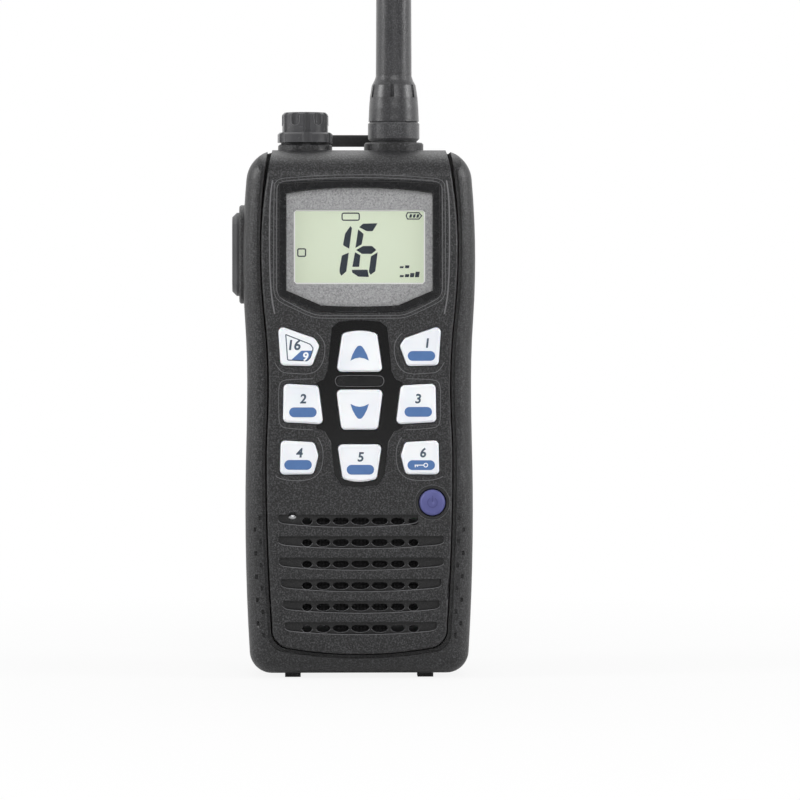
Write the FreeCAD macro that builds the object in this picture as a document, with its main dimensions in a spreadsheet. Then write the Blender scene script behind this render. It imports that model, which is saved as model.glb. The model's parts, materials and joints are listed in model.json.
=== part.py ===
import FreeCAD, Part
import math
import os
from types import SimpleNamespace

import Sketcher

# Handheld marine radio in millimetres: front faces -Y, right hand side is +X, up is +Z.
# The origin is the middle of the standing plane, under the feet.

FOLDER = "parts"
COIL_POINTS = 220

SIZES = {
    # overall body
    "body_width": 62.2,
    "body_height": 140.1,
    "case_depth": 27.4,
    "case_back": 8.0,
    "foot_height": 1.2,
    "foot_width": 4.2,
    "foot_spacing": 35.6,
    # side outline of the case, given as insets from the widest line
    "shoulder_drop": 29.3,
    "waist_inset": 1.1,
    "waist_share": 0.56,
    "hip_inset": 0.6,
    "hip_share": 0.31,
    "base_inset": 2.1,
    "top_inset": 1.8,
    "base_corner": 6.0,
    "top_corner": 8.6,
    "front_round": 5.5,
    "dimple_pitch": 3.13,
    "back_round": 2.0,
    # front cover
    "cover_lift": 1.1,
    "cover_wall": 3.2,
    "cover_gap": 0.35,
    "groove_width": 1.2,
    "groove_depth": 1.4,
    "cover_inset_shoulder": 4.9,
    "cover_inset_waist": 6.9,
    "cover_inset_hip": 6.3,
    "cover_inset_low": 7.8,
    "cover_inset_top": 7.9,
    "cover_rise": 5.4,
    "cover_round": 0.9,
    "slope_drop": 7.0,
    "slope_run": 11.5,
    "slope_bulge": 2.2,
    "top_wall": 3.0,
    "back_wall": 3.0,
    "post_radius": 2.2,
    "post_inset": 11.6,
    "post_low": 17.0,
    "post_drop": 11.8,
    "screw_radius": 1.1,
    "screw_head_radius": 2.1,
    # display
    "display_drop": 26.0,
    "display_half": 21.4,
    "bezel_recess": 1.3,
    "panel_half": 19.5,
    "glass_width": 35.0,
    "glass_height": 19.8,
    "glass_border": 1.5,
    # keys
    "keypad_drop": 67.8,
    "key_clearance": 0.25,
    "key_flange": 0.7,
    "key_proud": 0.9,
    "key_corner": 1.2,
    "key_edge": 0.45,
    "key_travel": 0.8,
    "key_dish": 0.06,
    "recess_depth": 0.5,
    "power_x": 19.4,
    "power_drop": 94.1,
    "power_radius": 3.44,
    "power_ring_radius": 4.6,
    # speaker and microphone
    "speaker_height": 29.0,
    "speaker_radius": 17.5,
    "grille_pitch": 5.74,
    "slot_height": 3.5,
    "slot_depth": 1.2,
    "hole_height": 1.9,
    "mic_x": 18.0,
    "mic_drop": 97.0,
    # talk pad
    "talk_drop": 27.9,
    "talk_height": 22.4,
    "talk_depth": 12.0,
    "talk_y": -6.3,
    "talk_proud": 2.9,
    "talk_travel": 1.0,
    # antenna
    "antenna_x": 9.5,
    "antenna_y": -3.6,
    "antenna_length": 169.0,
    "whip_radius": 4.83,
    "collar_radius": 6.95,
    "collar_height": 5.2,
    "antenna_boss_radius": 8.0,
    "antenna_boss_rise": 2.2,
    "stud_radius": 3.0,
    "thread_clearance": 0.05,
    # accessory connector and its cap
    "jack_x": -14.4,
    "jack_y": -3.6,
    "cap_radius": 6.2,
    "cap_flange_radius": 7.45,
    "cap_grip_height": 5.4,
    "cap_flange_height": 2.7,
    "cap_scallop": 1.1,
    "jack_boss_radius": 7.3,
    "jack_boss_rise": 1.7,
    "socket_radius": 5.0,
    # battery pack
    "pack_half": 26.5,
    "pack_depth": 13.3,
    "pack_gap": 0.2,
    "pack_top_drop": 2.8,
    "pack_corner": 6.0,
    "pack_round": 3.5,
    "pack_wall": 1.9,
    "contact_spacing": 6.0,
    "contact_drop": 41.3,
    "latch_travel": 3.0,
    # belt clip
    "clip_half": 9.2,
    "clip_pin_drop": 13.3,
    "clip_pin_offset": 4.1,
    "clip_pin_radius": 1.2,
    "clip_length": 66.5,
    "thumb_rise": 18.6,
    # running fit
    "running_fit": 0.05,
}

doc = FreeCAD.newDocument("MarineRadio")
sheet = doc.addObject("Spreadsheet::Sheet", "Sizes")
for row, (size_name, size_value) in enumerate(SIZES.items(), start=1):
    sheet.set("A%d" % row, size_name)
    sheet.set("B%d" % row, "%g" % size_value)
    sheet.setAlias("B%d" % row, size_name)
doc.recompute()


class Size:
    """A number together with the sheet expression it comes from."""

    def __init__(self, value, text=None):
        self.value = float(value)
        self.text = text if text is not None else "(%.6f)" % value

    def __add__(self, other):
        other = sized(other)
        return Size(self.value + other.value, "(%s + %s)" % (self.text, other.text))

    def __radd__(self, other):
        return sized(other) + self

    def __sub__(self, other):
        other = sized(other)
        return Size(self.value - other.value, "(%s - %s)" % (self.text, other.text))

    def __rsub__(self, other):
        return sized(other) - self

    def __mul__(self, other):
        other = sized(other)
        return Size(self.value * other.value, "(%s * %s)" % (self.text, other.text))

    def __rmul__(self, other):
        return sized(other) * self

    def __truediv__(self, other):
        other = sized(other)
        return Size(self.value / other.value, "(%s / %s)" % (self.text, other.text))

    def __neg__(self):
        return Size(-self.value, "(0 - %s)" % self.text)

    def __abs__(self):
        return self if self.value >= 0 else -self


def sized(value):
    """Plain numbers become sizes, sizes stay as they are."""
    return value if isinstance(value, Size) else Size(value)


S = SimpleNamespace(**{name: Size(sheet.get(name), "Sizes." + name) for name in SIZES})

# Planes used by several bodies
half = S.body_width / 2
case_front = S.case_back - S.case_depth
cover_front = case_front - S.cover_lift
plate_back = cover_front + S.cover_wall
case_top = S.foot_height + S.body_height
cavity_back = S.case_back - S.back_wall
cover_back = cavity_back - 0.5
slope_start = case_top - S.slope_drop
slope_end = cover_front + S.slope_run
board_half = half - 14.1
post_x = half - S.post_inset
post_top = case_top - S.post_drop


def new_body(name):
    body = doc.addObject("PartDesign::Body", name)
    body.Label = name
    return body


def origin_plane(body, plane):
    names = {"XY": "XY_Plane", "XZ": "XZ_Plane", "YZ": "YZ_Plane"}
    for feature in body.Origin.OriginFeatures:
        if feature.Role == names[plane]:
            return feature
    raise ValueError(plane)


def new_sketch(body, plane, offset):
    sketch = body.newObject("Sketcher::SketchObject", body.Label + "_sketch")
    sketch.AttachmentSupport = [(origin_plane(body, plane), "")]
    sketch.MapMode = "FlatFace"
    offset = sized(offset)
    sketch.AttachmentOffset = FreeCAD.Placement(
        FreeCAD.Vector(0, 0, offset.value), FreeCAD.Rotation())
    sketch.setExpression("AttachmentOffset.Base.z", offset.text)
    return sketch


def pinned(geometry, position, x, y):
    """Rules that tie both coordinates of a point to sizes."""
    rules = []
    for kind, value in (("DistanceX", sized(x)), ("DistanceY", sized(y))):
        rule = Sketcher.Constraint(kind, -1, 1, geometry, position, value.value)
        rules.append((rule, value.text))
    return rules


def draw_circle(sketch, x, y, radius):
    x, y, radius = sized(x), sized(y), sized(radius)
    centre = FreeCAD.Vector(x.value, y.value, 0)
    index = sketch.addGeometry(
        Part.Circle(centre, FreeCAD.Vector(0, 0, 1), radius.value), False)
    rules = pinned(index, 3, x, y)
    rules.append((Sketcher.Constraint("Radius", index, radius.value), radius.text))
    return rules


def draw_path(sketch, steps):
    """Closed outline. Each step is (x, y) or (x, y, bulge).

    The bulge is the height of the arc that arrives at the point, positive to the left.
    """
    points = [(sized(step[0]), sized(step[1])) for step in steps]
    bulges = [sized(step[2]) if len(step) > 2 else None for step in steps]
    sides = []
    for index, start in enumerate(points):
        stop_index = (index + 1) % len(points)
        stop = points[stop_index]
        bulge = bulges[stop_index]
        first = FreeCAD.Vector(start[0].value, start[1].value, 0)
        last = FreeCAD.Vector(stop[0].value, stop[1].value, 0)
        if bulge is None or abs(bulge).value < 1e-6:
            geometry = sketch.addGeometry(Part.LineSegment(first, last), False)
            sides.append((geometry, 1, 2, None))
            continue
        chord = last.sub(first)
        left = FreeCAD.Vector(-chord.y, chord.x, 0)
        left.normalize()
        middle = first.add(last).multiply(0.5).add(left.multiply(bulge.value))
        geometry = sketch.addGeometry(Part.Arc(first, middle, last), False)
        begins_first = sketch.getPoint(geometry, 1).sub(first).Length < 1e-6
        across = stop[0] - start[0]
        along = stop[1] - start[1]
        height = abs(bulge)
        radius = (across * across + along * along) / (8 * height) + height / 2
        order = (1, 2) if begins_first else (2, 1)
        sides.append((geometry, order[0], order[1], radius))
    rules = []
    for index, (geometry, start_position, _, radius) in enumerate(sides):
        previous = sides[index - 1]
        rules.append((Sketcher.Constraint(
            "Coincident", previous[0], previous[2], geometry, start_position), ""))
        rules += pinned(geometry, start_position, *points[index])
        if radius is not None:
            rules.append((Sketcher.Constraint("Radius", geometry, radius.value),
                          radius.text))
    return rules


def draw_slot(sketch, x, y, width, height):
    """Oval hole: straight top and bottom with round ends."""
    x, y, width, height = sized(x), sized(y), sized(width), sized(height)
    reach = (width - height) / 2
    rise = height / 2
    bulge = rise * 0.96
    return draw_path(sketch, [
        (x - reach, y - rise, -bulge), (x + reach, y - rise),
        (x + reach, y + rise, -bulge), (x - reach, y + rise)])


def draw_oval(sketch, x, y, width, height):
    """Grille hole: long oval whose round ends are four short sides each."""
    x, y, width, height = sized(x), sized(y), sized(width), sized(height)
    reach = (width - height) / 2
    rise = height / 2
    steps = []
    for side, first in ((1, -90), (-1, 90)):
        for count in range(5):
            turn = math.radians(first + 45 * count)
            steps.append((x + reach * side + rise * round(math.cos(turn), 6),
                          y + rise * round(math.sin(turn), 6)))
    return draw_path(sketch, steps)


def draw_axis(sketch, start, end):
    """Construction line that a profile is turned about."""
    first = FreeCAD.Vector(sized(start[0]).value, sized(start[1]).value, 0)
    last = FreeCAD.Vector(sized(end[0]).value, sized(end[1]).value, 0)
    line = sketch.addGeometry(Part.LineSegment(first, last), True)
    return pinned(line, 1, *start) + pinned(line, 2, *end)


def draw(sketch, shapes):
    """Draw the shapes, then tie their measures to the sheet."""
    rules = []
    for shape in shapes:
        if shape[0] == "circle":
            rules += draw_circle(sketch, *shape[1:])
        elif shape[0] == "slot":
            rules += draw_slot(sketch, *shape[1:])
        elif shape[0] == "oval":
            rules += draw_oval(sketch, *shape[1:])
        elif shape[0] == "axis":
            rules += draw_axis(sketch, *shape[1:])
        else:
            rules += draw_path(sketch, shape)
    sketch.addConstraint([rule for rule, _ in rules])
    for index, (_, text) in enumerate(rules):
        if "Sizes" in text:
            sketch.setExpression("Constraints[%d]" % index, text)


def check_volume(body, before, grows, what):
    after = body.Shape.Volume
    if (grows and after <= before) or (not grows and after >= before):
        raise ValueError("%s: %s did not change the volume as meant" % (body.Label, what))


def solid_between(body, kind, plane, low, high, shapes):
    """Add or remove a prism between two world planes, low and high along the plane's axis."""
    low, high = sized(low), sized(high)
    adding = kind == "PartDesign::Pad"
    before = 0.0 if body.Tip is None else body.Shape.Volume
    if plane == "XZ":
        offset = -high if adding else -low
    else:
        offset = low if adding else high
    sketch = new_sketch(body, plane, offset)
    draw(sketch, shapes)
    feature = body.newObject(kind, body.Label + ("_pad" if adding else "_pocket"))
    feature.Profile = sketch
    length = high - low
    feature.Length = length.value
    feature.setExpression("Length", length.text)
    body.Tip = feature
    doc.recompute()
    check_volume(body, before, adding, kind)
    return feature


def pad(body, plane, low, high, *shapes):
    return solid_between(body, "PartDesign::Pad", plane, low, high, shapes)


def pocket(body, plane, low, high, *shapes):
    return solid_between(body, "PartDesign::Pocket", plane, low, high, shapes)


def turned(body, plane, offset, axis_start, axis_end, shape, cut=False):
    """Revolve a profile drawn on a plane about a line of that plane."""
    before = 0.0 if body.Tip is None else body.Shape.Volume
    sketch = new_sketch(body, plane, offset)
    draw(sketch, [shape, ("axis", axis_start, axis_end)])
    kind = "PartDesign::Groove" if cut else "PartDesign::Revolution"
    feature = body.newObject(kind, body.Label + "_turned")
    feature.Profile = sketch
    feature.ReferenceAxis = (sketch, ["Axis0"])
    feature.Angle = 360
    body.Tip = feature
    doc.recompute()
    check_volume(body, before, not cut, kind)
    return feature


def dress(body, kind, size, choose):
    """Fillet or chamfer the edges that the test picks out."""
    size = sized(size)
    base = body.Tip
    names = ["Edge%d" % (index + 1) for index, edge in enumerate(base.Shape.Edges)
             if choose(edge)]
    if not names:
        raise ValueError("%s: no edge to dress" % body.Label)
    feature = body.newObject(kind, body.Label + "_dress")
    feature.Base = (base, names)
    name = "Radius" if kind.endswith("Fillet") else "Size"
    setattr(feature, name, size.value)
    feature.setExpression(name, size.text)
    body.Tip = feature
    doc.recompute()
    if feature.Shape.isNull():
        raise ValueError("%s: dressing failed" % body.Label)
    return feature


def fillet(body, size, choose):
    return dress(body, "PartDesign::Fillet", size, choose)


def chamfer(body, size, choose):
    return dress(body, "PartDesign::Chamfer", size, choose)


def pattern(body, feature, kind, direction, amount, count):
    """Repeat a feature along a line or round an axis of the body."""
    before = body.Shape.Volume
    names = {"X": "X_Axis", "Y": "Y_Axis", "Z": "Z_Axis"}
    axis = [item for item in body.Origin.OriginFeatures if item.Role == names[direction]][0]
    repeat = body.newObject(kind, body.Label + "_pattern")
    repeat.Originals = [feature]
    if kind.endswith("LinearPattern"):
        repeat.Direction = (axis, [""])
        repeat.Length = amount.value
        repeat.setExpression("Length", amount.text)
        repeat.Reversed = True
    else:
        repeat.Axis = (axis, [""])
        repeat.Angle = 360
    repeat.Occurrences = count
    body.Tip = repeat
    doc.recompute()
    if abs(body.Shape.Volume - before) < 1e-6:
        raise ValueError("%s: the pattern did nothing" % body.Label)
    return repeat


def near(value, size, tolerance=0.01):
    return abs(value - sized(size).value) < tolerance


def edge_points(edge):
    """Both ends and the middle of an edge."""
    middle = (edge.FirstParameter + edge.LastParameter) / 2
    return [vertex.Point for vertex in edge.Vertexes] + [edge.valueAt(middle)]


def in_plane(edge, axis, level):
    """The edge lies in the plane where the coordinate has this value."""
    return all(near(getattr(point, axis.lower()), level) for point in edge_points(edge))


def runs_along(edge, axis):
    """The edge is parallel to the axis."""
    points = edge_points(edge)
    spread = {name: max(getattr(point, name) for point in points)
              - min(getattr(point, name) for point in points) for name in "xyz"}
    length = spread.pop(axis.lower())
    return length > 0.05 and max(spread.values()) < 0.001


def highest(edge):
    return max(point.z for point in edge_points(edge))


def lowest(edge):
    return min(point.z for point in edge_points(edge))


def rectangle(x_low, x_high, y_low, y_high):
    return [(x_low, y_low), (x_high, y_low), (x_high, y_high), (x_low, y_high)]


def square_leg(x, z, reach):
    return rectangle(x - reach, x + reach, z - reach, z + reach)


def around(x, y, reach, first_turn, radius):
    """Six circles evenly spaced on a larger circle."""
    turns = [math.radians(first_turn + 60 * index) for index in range(6)]
    return [("circle", x + reach * round(math.cos(turn), 6),
             y + reach * round(math.sin(turn), 6), radius) for turn in turns]


def block(name, x_low, x_high, y_low, y_high, z_low, z_high, corner=None):
    """Plain rectangular body padded along the depth, corners rounded when asked."""
    body = new_body(name)
    pad(body, "XZ", y_low, y_high, rectangle(x_low, x_high, z_low, z_high))
    if corner is not None:
        fillet(body, corner, lambda edge: runs_along(edge, "Y"))
    return body


def double_bend(x_from, z_from, x_to, z_to):
    """Two arcs, upright at both ends, for the right hand side going up."""
    x_middle = (x_from + x_to) / 2
    z_middle = (z_from + z_to) / 2
    bulge = (x_to - x_from) / 8
    return [(x_middle, z_middle, bulge), (x_to, z_to, -bulge)]


def mirrored(side):
    """Closed outline from its right hand side, listed upward."""
    outline = list(side)
    for index in range(len(side) - 1, -1, -1):
        x, z = side[index][0], side[index][1]
        arriving = side[index + 1] if index + 1 < len(side) else None
        if arriving is not None and len(arriving) > 2:
            outline.append((-sized(x), z, arriving[2]))
        else:
            outline.append((-sized(x), z))
    return outline


def case_outline():
    base_x = half - S.base_inset
    hip_x = half - S.hip_inset
    waist_x = half - S.waist_inset
    top_x = half - S.top_inset
    hip_z = S.foot_height + S.body_height * S.hip_share
    waist_z = S.foot_height + S.body_height * S.waist_share
    shoulder_z = case_top - S.shoulder_drop
    side = [(base_x, S.foot_height), (hip_x, hip_z, (base_x - hip_x) / 4)]
    side += double_bend(hip_x, hip_z, waist_x, waist_z)
    side += double_bend(waist_x, waist_z, half, shoulder_z)
    side += [(top_x, case_top, (top_x - half) / 4)]
    return mirrored(side)


def cover_outline(grow, top_z, top_inset=None):
    """Outline of the inner front panel, grown outward by an amount."""
    grow = sized(grow)
    low_x = half - S.cover_inset_low + grow
    hip_x = half - S.cover_inset_hip + grow
    waist_x = half - S.cover_inset_waist + grow
    shoulder_x = half - S.cover_inset_shoulder + grow
    top_x = half - (S.cover_inset_top if top_inset is None else top_inset) + grow
    bottom_z = S.foot_height + S.cover_rise - grow
    hip_z = S.foot_height + S.body_height * 0.4
    waist_z = S.foot_height + S.body_height * 0.55
    shoulder_z = case_top - 26.5
    side = [(low_x - 4.7, bottom_z + 1.6),
            (low_x, bottom_z + 7.4, -1.6),
            (hip_x, hip_z, (low_x - hip_x) / 4)]
    side += double_bend(hip_x, hip_z, waist_x, waist_z)
    side += double_bend(waist_x, waist_z, shoulder_x, shoulder_z)
    side += [(top_x, top_z, (top_x - shoulder_x) / 4)]
    outline = mirrored(side)
    outline[0] = outline[0] + (-1.6,)
    return outline


# Keys: name, centre across, centre above the keypad line, corners about the centre
CORNER_KEY = [(-4.6, -4.8), (3.7, -5.0), (5.7, 0.4), (4.4, 2.4), (-5.3, 5.8)]
MIDDLE_KEY = [(-5.1, -4.8), (5.6, -5.4), (4.3, 4.9), (-4.9, 5.4)]
LOW_KEY = [(-5.0, -4.5), (3.9, -4.4), (5.2, 0.6), (4.1, 4.1), (-4.8, 4.6)]


def flipped(corners):
    return [(-x, z) for x, z in reversed(corners)]


KEYS = [
    ("key_top_left", -16.4, 15.1, CORNER_KEY, None),
    ("key_up", 0.0, 13.7, [(-6.1, -5.1), (6.1, -5.1), (4.6, 5.0), (-4.6, 5.0)], (3, 0.8)),
    ("key_top_right", 16.4, 15.1, flipped(CORNER_KEY), None),
    ("key_mid_left", -15.3, 0.0, MIDDLE_KEY, None),
    ("key_down", 0.0, -1.5, [(-4.8, -5.3), (4.8, -5.3), (6.2, 5.3), (-6.2, 5.3)], None),
    ("key_mid_right", 15.3, 0.0, flipped(MIDDLE_KEY), None),
    ("key_low_left", -16.2, -14.3, LOW_KEY, None),
    ("key_low_middle", 0.0, -15.5, [(-4.5, -4.4), (4.5, -4.4), (5.9, 4.7), (-5.9, 4.7)],
     (1, 0.8)),
    ("key_low_right", 16.2, -14.3, flipped(LOW_KEY), None),
]
keypad_z = case_top - S.keypad_drop


def key_outline(centre_x, centre_z, corners, arch, grow):
    """Key shape about its centre, each corner moved out by the growth."""
    grow = sized(grow)
    steps = []
    for index, (x, z) in enumerate(corners):
        across = centre_x + x + grow * math.copysign(1.0, x)
        height = keypad_z + centre_z + z + grow * math.copysign(1.0, z)
        if arch is not None and arch[0] == index:
            steps.append((across, height, Size(-arch[1])))
        else:
            steps.append((across, height))
    return steps


# Rear case: deep tub that wraps the sides and the bottom
rear_case = new_body("rear_case")
pad(rear_case, "XZ", case_front, S.case_back, case_outline())
fillet(rear_case, S.base_corner,
       lambda edge: runs_along(edge, "Y") and highest(edge) < S.foot_height.value + 1)
fillet(rear_case, S.top_corner,
       lambda edge: runs_along(edge, "Y") and near(highest(edge), case_top))
fillet(rear_case, S.front_round, lambda edge: in_plane(edge, "Y", case_front))
fillet(rear_case, S.back_round, lambda edge: in_plane(edge, "Y", S.case_back))


def slope_outline(front, drop, run):
    start = case_top - drop
    return [(front - 12, case_top + 12), (front - 12, start), (front, start),
            (front + run, case_top, S.slope_bulge), (front + run, case_top + 12)]


pocket(rear_case, "YZ", -half - 5, half + 5,
       slope_outline(case_front, S.slope_drop, S.slope_run))
pocket(rear_case, "XZ", case_front - 5, cavity_back,
       cover_outline(S.cover_gap, case_top + 5))
pocket(rear_case, "XZ", case_front - 5, case_front + S.groove_depth,
       cover_outline(S.groove_width, case_top + 5))
screw_places = [(-post_x, S.post_low), (post_x, S.post_low),
                (-post_x, post_top), (post_x, post_top)]
head_floor = S.case_back - 1.7
for place_x, place_z in screw_places:
    pocket(rear_case, "XZ", head_floor, S.case_back + 1,
           ("circle", place_x, place_z, S.screw_head_radius + 0.2))
    pocket(rear_case, "XZ", cavity_back - 1, head_floor + 0.5,
           ("circle", place_x, place_z, S.screw_radius + 0.2))
contact_z = case_top - S.contact_drop
for side in (-1, 0, 1):
    pocket(rear_case, "XZ", cavity_back - 1, S.case_back + 1,
           ("circle", S.contact_spacing * side, contact_z, 0.8 + S.running_fit))

# Talk pad recess in the left wall, stepped for the frame, the pad and the switch stem
talk_z = case_top - S.talk_drop
talk_top = talk_z + S.talk_height / 2
talk_bottom = talk_z - S.talk_height / 2
talk_front = S.talk_y - S.talk_depth / 2
talk_back = S.talk_y + S.talk_depth / 2
frame_floor = -half + 1.9
pad_floor = -half + 2.9
frame_margin = Size(2.2)


def talk_window(grow):
    grow = sized(grow)
    rise = S.talk_depth / 2 + grow
    front, back = talk_front - grow, talk_back + grow
    bottom, top = talk_bottom - grow, talk_top + grow
    return [(front, bottom + rise / 2), (back, bottom + rise / 2, rise / -2),
            (back, top - rise / 2), (front, top - rise / 2, rise / -2)]


pocket(rear_case, "YZ", -half - 6, frame_floor, talk_window(frame_margin))
pocket(rear_case, "YZ", -half - 6, pad_floor, talk_window(0.3))
pocket(rear_case, "YZ", pad_floor - 1, -half + 8, ("circle", S.talk_y, talk_z, 1.9))

# Grip dimples: a zigzag down each side of the front, two depths on the rounded edge
for first, dimple_x, dimple_floor in ((0, 26.6, 0.85), (1, 28.0, 1.6)):
    dimples = []
    for index in range(first, 11, 2):
        dimple_z = case_top - 98.3 - S.dimple_pitch * index
        for side in (-1, 1):
            middle = side * (half - (31.1 - dimple_x) - 0.1 * index)
            dimples.append(rectangle(middle - 0.35, middle + 0.35,
                                     dimple_z - 0.6, dimple_z + 0.6))
    pocket(rear_case, "XZ", case_front - 1, case_front + dimple_floor, *dimples)

foot_half = S.foot_spacing / 2
foot_shapes = []
for side in (-1, 1):
    foot_shapes.append(rectangle(foot_half * side - S.foot_width / 2,
                                 foot_half * side + S.foot_width / 2,
                                 case_front + 6.4, case_front + 12.4))
pad(rear_case, "XY", 0, S.foot_height + 0.6, *foot_shapes)

# Front cover: inner panel, sloping shoulder, top panel and bosses in one
front_cover = new_body("front_cover")
pad(front_cover, "XZ", cover_front, cover_back, cover_outline(0, case_top))
fillet(front_cover, S.cover_round, lambda edge: in_plane(edge, "Y", cover_front))
pocket(front_cover, "YZ", -half - 5, half + 5,
       [(cover_back + 3, -5), (cover_back + 3, case_top - S.top_wall),
        (slope_end + 0.8, case_top - S.top_wall), (plate_back, slope_start - 1.2, -1.6),
        (plate_back, -5)])
pocket(front_cover, "YZ", -half - 5, half + 5,
       slope_outline(cover_front, S.slope_drop, S.slope_run))
antenna_boss_top = case_top + S.antenna_boss_rise
jack_boss_top = case_top + S.jack_boss_rise
pad(front_cover, "XY", case_top - 1.5, antenna_boss_top,
    ("circle", S.antenna_x, S.antenna_y, S.antenna_boss_radius))
pad(front_cover, "XY", case_top - 1.5, jack_boss_top,
    ("circle", S.jack_x, S.jack_y, S.jack_boss_radius))
chamfer(front_cover, 0.4, lambda edge: in_plane(edge, "Z", antenna_boss_top)
       or in_plane(edge, "Z", jack_boss_top))
socket_radius = S.stud_radius + 1.2
pocket(front_cover, "XY", case_top - 12, antenna_boss_top + 1,
       ("circle", S.antenna_x, S.antenna_y, socket_radius + S.running_fit))
pocket(front_cover, "XY", case_top - 12, jack_boss_top + 1,
       ("circle", S.jack_x, S.jack_y, S.socket_radius + S.running_fit))
for place_x, place_z in screw_places:
    pad(front_cover, "XZ", plate_back - 0.3, cavity_back - 0.1,
        ("circle", place_x, place_z, S.post_radius))
    pocket(front_cover, "XZ", cavity_back - 15, cavity_back,
           ("circle", place_x, place_z, S.screw_radius + S.running_fit))


def display_outline(reach, drop_top, drop_low, low_half, arch, grow=0.0):
    """Display shapes: flat sides, arched top and a shallow pointed foot."""
    grow = sized(grow)
    reach = sized(reach) + grow
    top = display_z + drop_top + grow
    corner = display_z - drop_low
    bottom = corner - 4.0 - grow
    return [(-low_half, bottom), (low_half, bottom, -0.3), (reach, corner),
            (reach, top), (-reach, top, -arch), (-reach, corner)]


display_z = case_top - S.display_drop
BEZEL = (16.9, 13.1, 11.5, 0.8)
PANEL = (14.3, 11.6, 10.2, 1.5)
glass_module_half = S.glass_width / 2 + S.glass_border - 0.5
bezel_floor = cover_front + S.bezel_recess
pocket(front_cover, "XZ", cover_front - 1, bezel_floor,
       display_outline(S.display_half, *BEZEL, grow=0.15))
module_z = (display_z - S.glass_height / 2 - 1.2, display_z + S.glass_height / 2 + 1.2)
pocket(front_cover, "XZ", cover_front, plate_back + 1,
       rectangle(-glass_module_half - 0.2, glass_module_half + 0.2,
                 module_z[0] - 0.2, module_z[1] + 0.2))

# Shallow recess round the middle keys, then one opening per key
cross_top = keypad_z + 22.0
cross_low = keypad_z - 21.9
RECESS_SIDE = [(4.8, -21.7), (6.7, -18.8), (7.6, -10.2), (9.2, -7.4), (11.5, -6.3),
               (11.5, 5.6), (9.5, 6.6), (8.5, 8.8), (7.4, 20.3), (5.6, 21.8)]
recess_path = [(x, keypad_z + z) for x, z in RECESS_SIDE]
recess_path.append((-RECESS_SIDE[-1][0], keypad_z + RECESS_SIDE[-1][1], -0.45))
recess_path += [(-x, keypad_z + z) for x, z in reversed(RECESS_SIDE[:-1])]
recess_path[0] = (RECESS_SIDE[0][0], keypad_z + RECESS_SIDE[0][1], -0.3)
pocket(front_cover, "XZ", cover_front - 1, cover_front + S.recess_depth, recess_path)
chamfer(front_cover, 0.2, lambda edge: in_plane(edge, "Y", cover_front)
        and cross_low.value - 1 < lowest(edge) and highest(edge) < cross_top.value + 1
        and max(abs(point.x) for point in edge_points(edge)) < 12)
for _, x, z, corners, arch in KEYS:
    pocket(front_cover, "XZ", cover_front - 1, plate_back + 1,
           key_outline(x, z, corners, arch, S.key_clearance))


def key_edge(edge):
    """Upright corner edge of a key opening."""
    inside = cross_low.value - 1 < lowest(edge) and highest(edge) < cross_top.value + 1
    deepest = max(point.y for point in edge_points(edge))
    return inside and runs_along(edge, "Y") and near(deepest, plate_back)


fillet(front_cover, S.key_corner + S.key_clearance, key_edge)
power_z = case_top - S.power_drop
pocket(front_cover, "XZ", cover_front - 1, plate_back + 1,
       ("circle", S.power_x, power_z, S.power_radius + 0.3))
pocket(front_cover, "XZ", cover_front - 1, cover_front + 0.9,
       ("circle", S.power_x, power_z, S.power_ring_radius + 0.1))
mic_z = case_top - S.mic_drop
pocket(front_cover, "XZ", cover_front - 1, plate_back + 1,
       ("slot", -S.mic_x, mic_z, 2.0, 1.2))
bar_z = keypad_z + 6.1
pocket(front_cover, "XZ", cover_front - 1, cover_front + 1.3,
       ("slot", 0.0, bar_z, 12.6, 2.6))

# Speaker grille: six louvre recesses, each with a row of oval holes
GRILLE_ENDS = [(-21.6, 15.6), (-21.6, 22.4), (-21.4, 22.4), (-20.9, 21.8), (-20.4, 21.3),
               (-19.9, 20.6)]
OVALS = [(-14.0, 2.7), (-9.7, 3.7), (-5.0, 4.3), (0.2, 4.8), (5.4, 4.3), (10.2, 3.7),
         (14.4, 2.7)]
grille_top = S.speaker_height + S.grille_pitch * 2.5 + S.slot_height / 2 - 1.1
slots = []
for index, (left, right) in enumerate(GRILLE_ENDS):
    top = grille_top - S.grille_pitch * index
    low = top - S.slot_height + 1.2
    slots.append([(left, low), (right, low, -1.1), (right, top), (left, top)])
pocket(front_cover, "XZ", cover_front - 1, cover_front + S.slot_depth, *slots)
first_row = grille_top - S.slot_height / 2 - 0.1
ovals = pocket(front_cover, "XZ", cover_front - 1, plate_back + 1,
               *[("oval", x, first_row, width, S.hole_height) for x, width in OVALS])
pattern(front_cover, ovals, "PartDesign::LinearPattern", "Z", S.grille_pitch * 5, 6)

# Main gasket under the rim of the cover
main_gasket = new_body("main_gasket")
gasket_top = slope_start - 1.3
pad(main_gasket, "XZ", plate_back + 0.05, plate_back + 1.0,
    cover_outline(-0.2, gasket_top, 6.4))
pocket(main_gasket, "XZ", plate_back - 1, plate_back + 2,
       cover_outline(-1.1, gasket_top - 0.9, 6.4))

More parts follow.
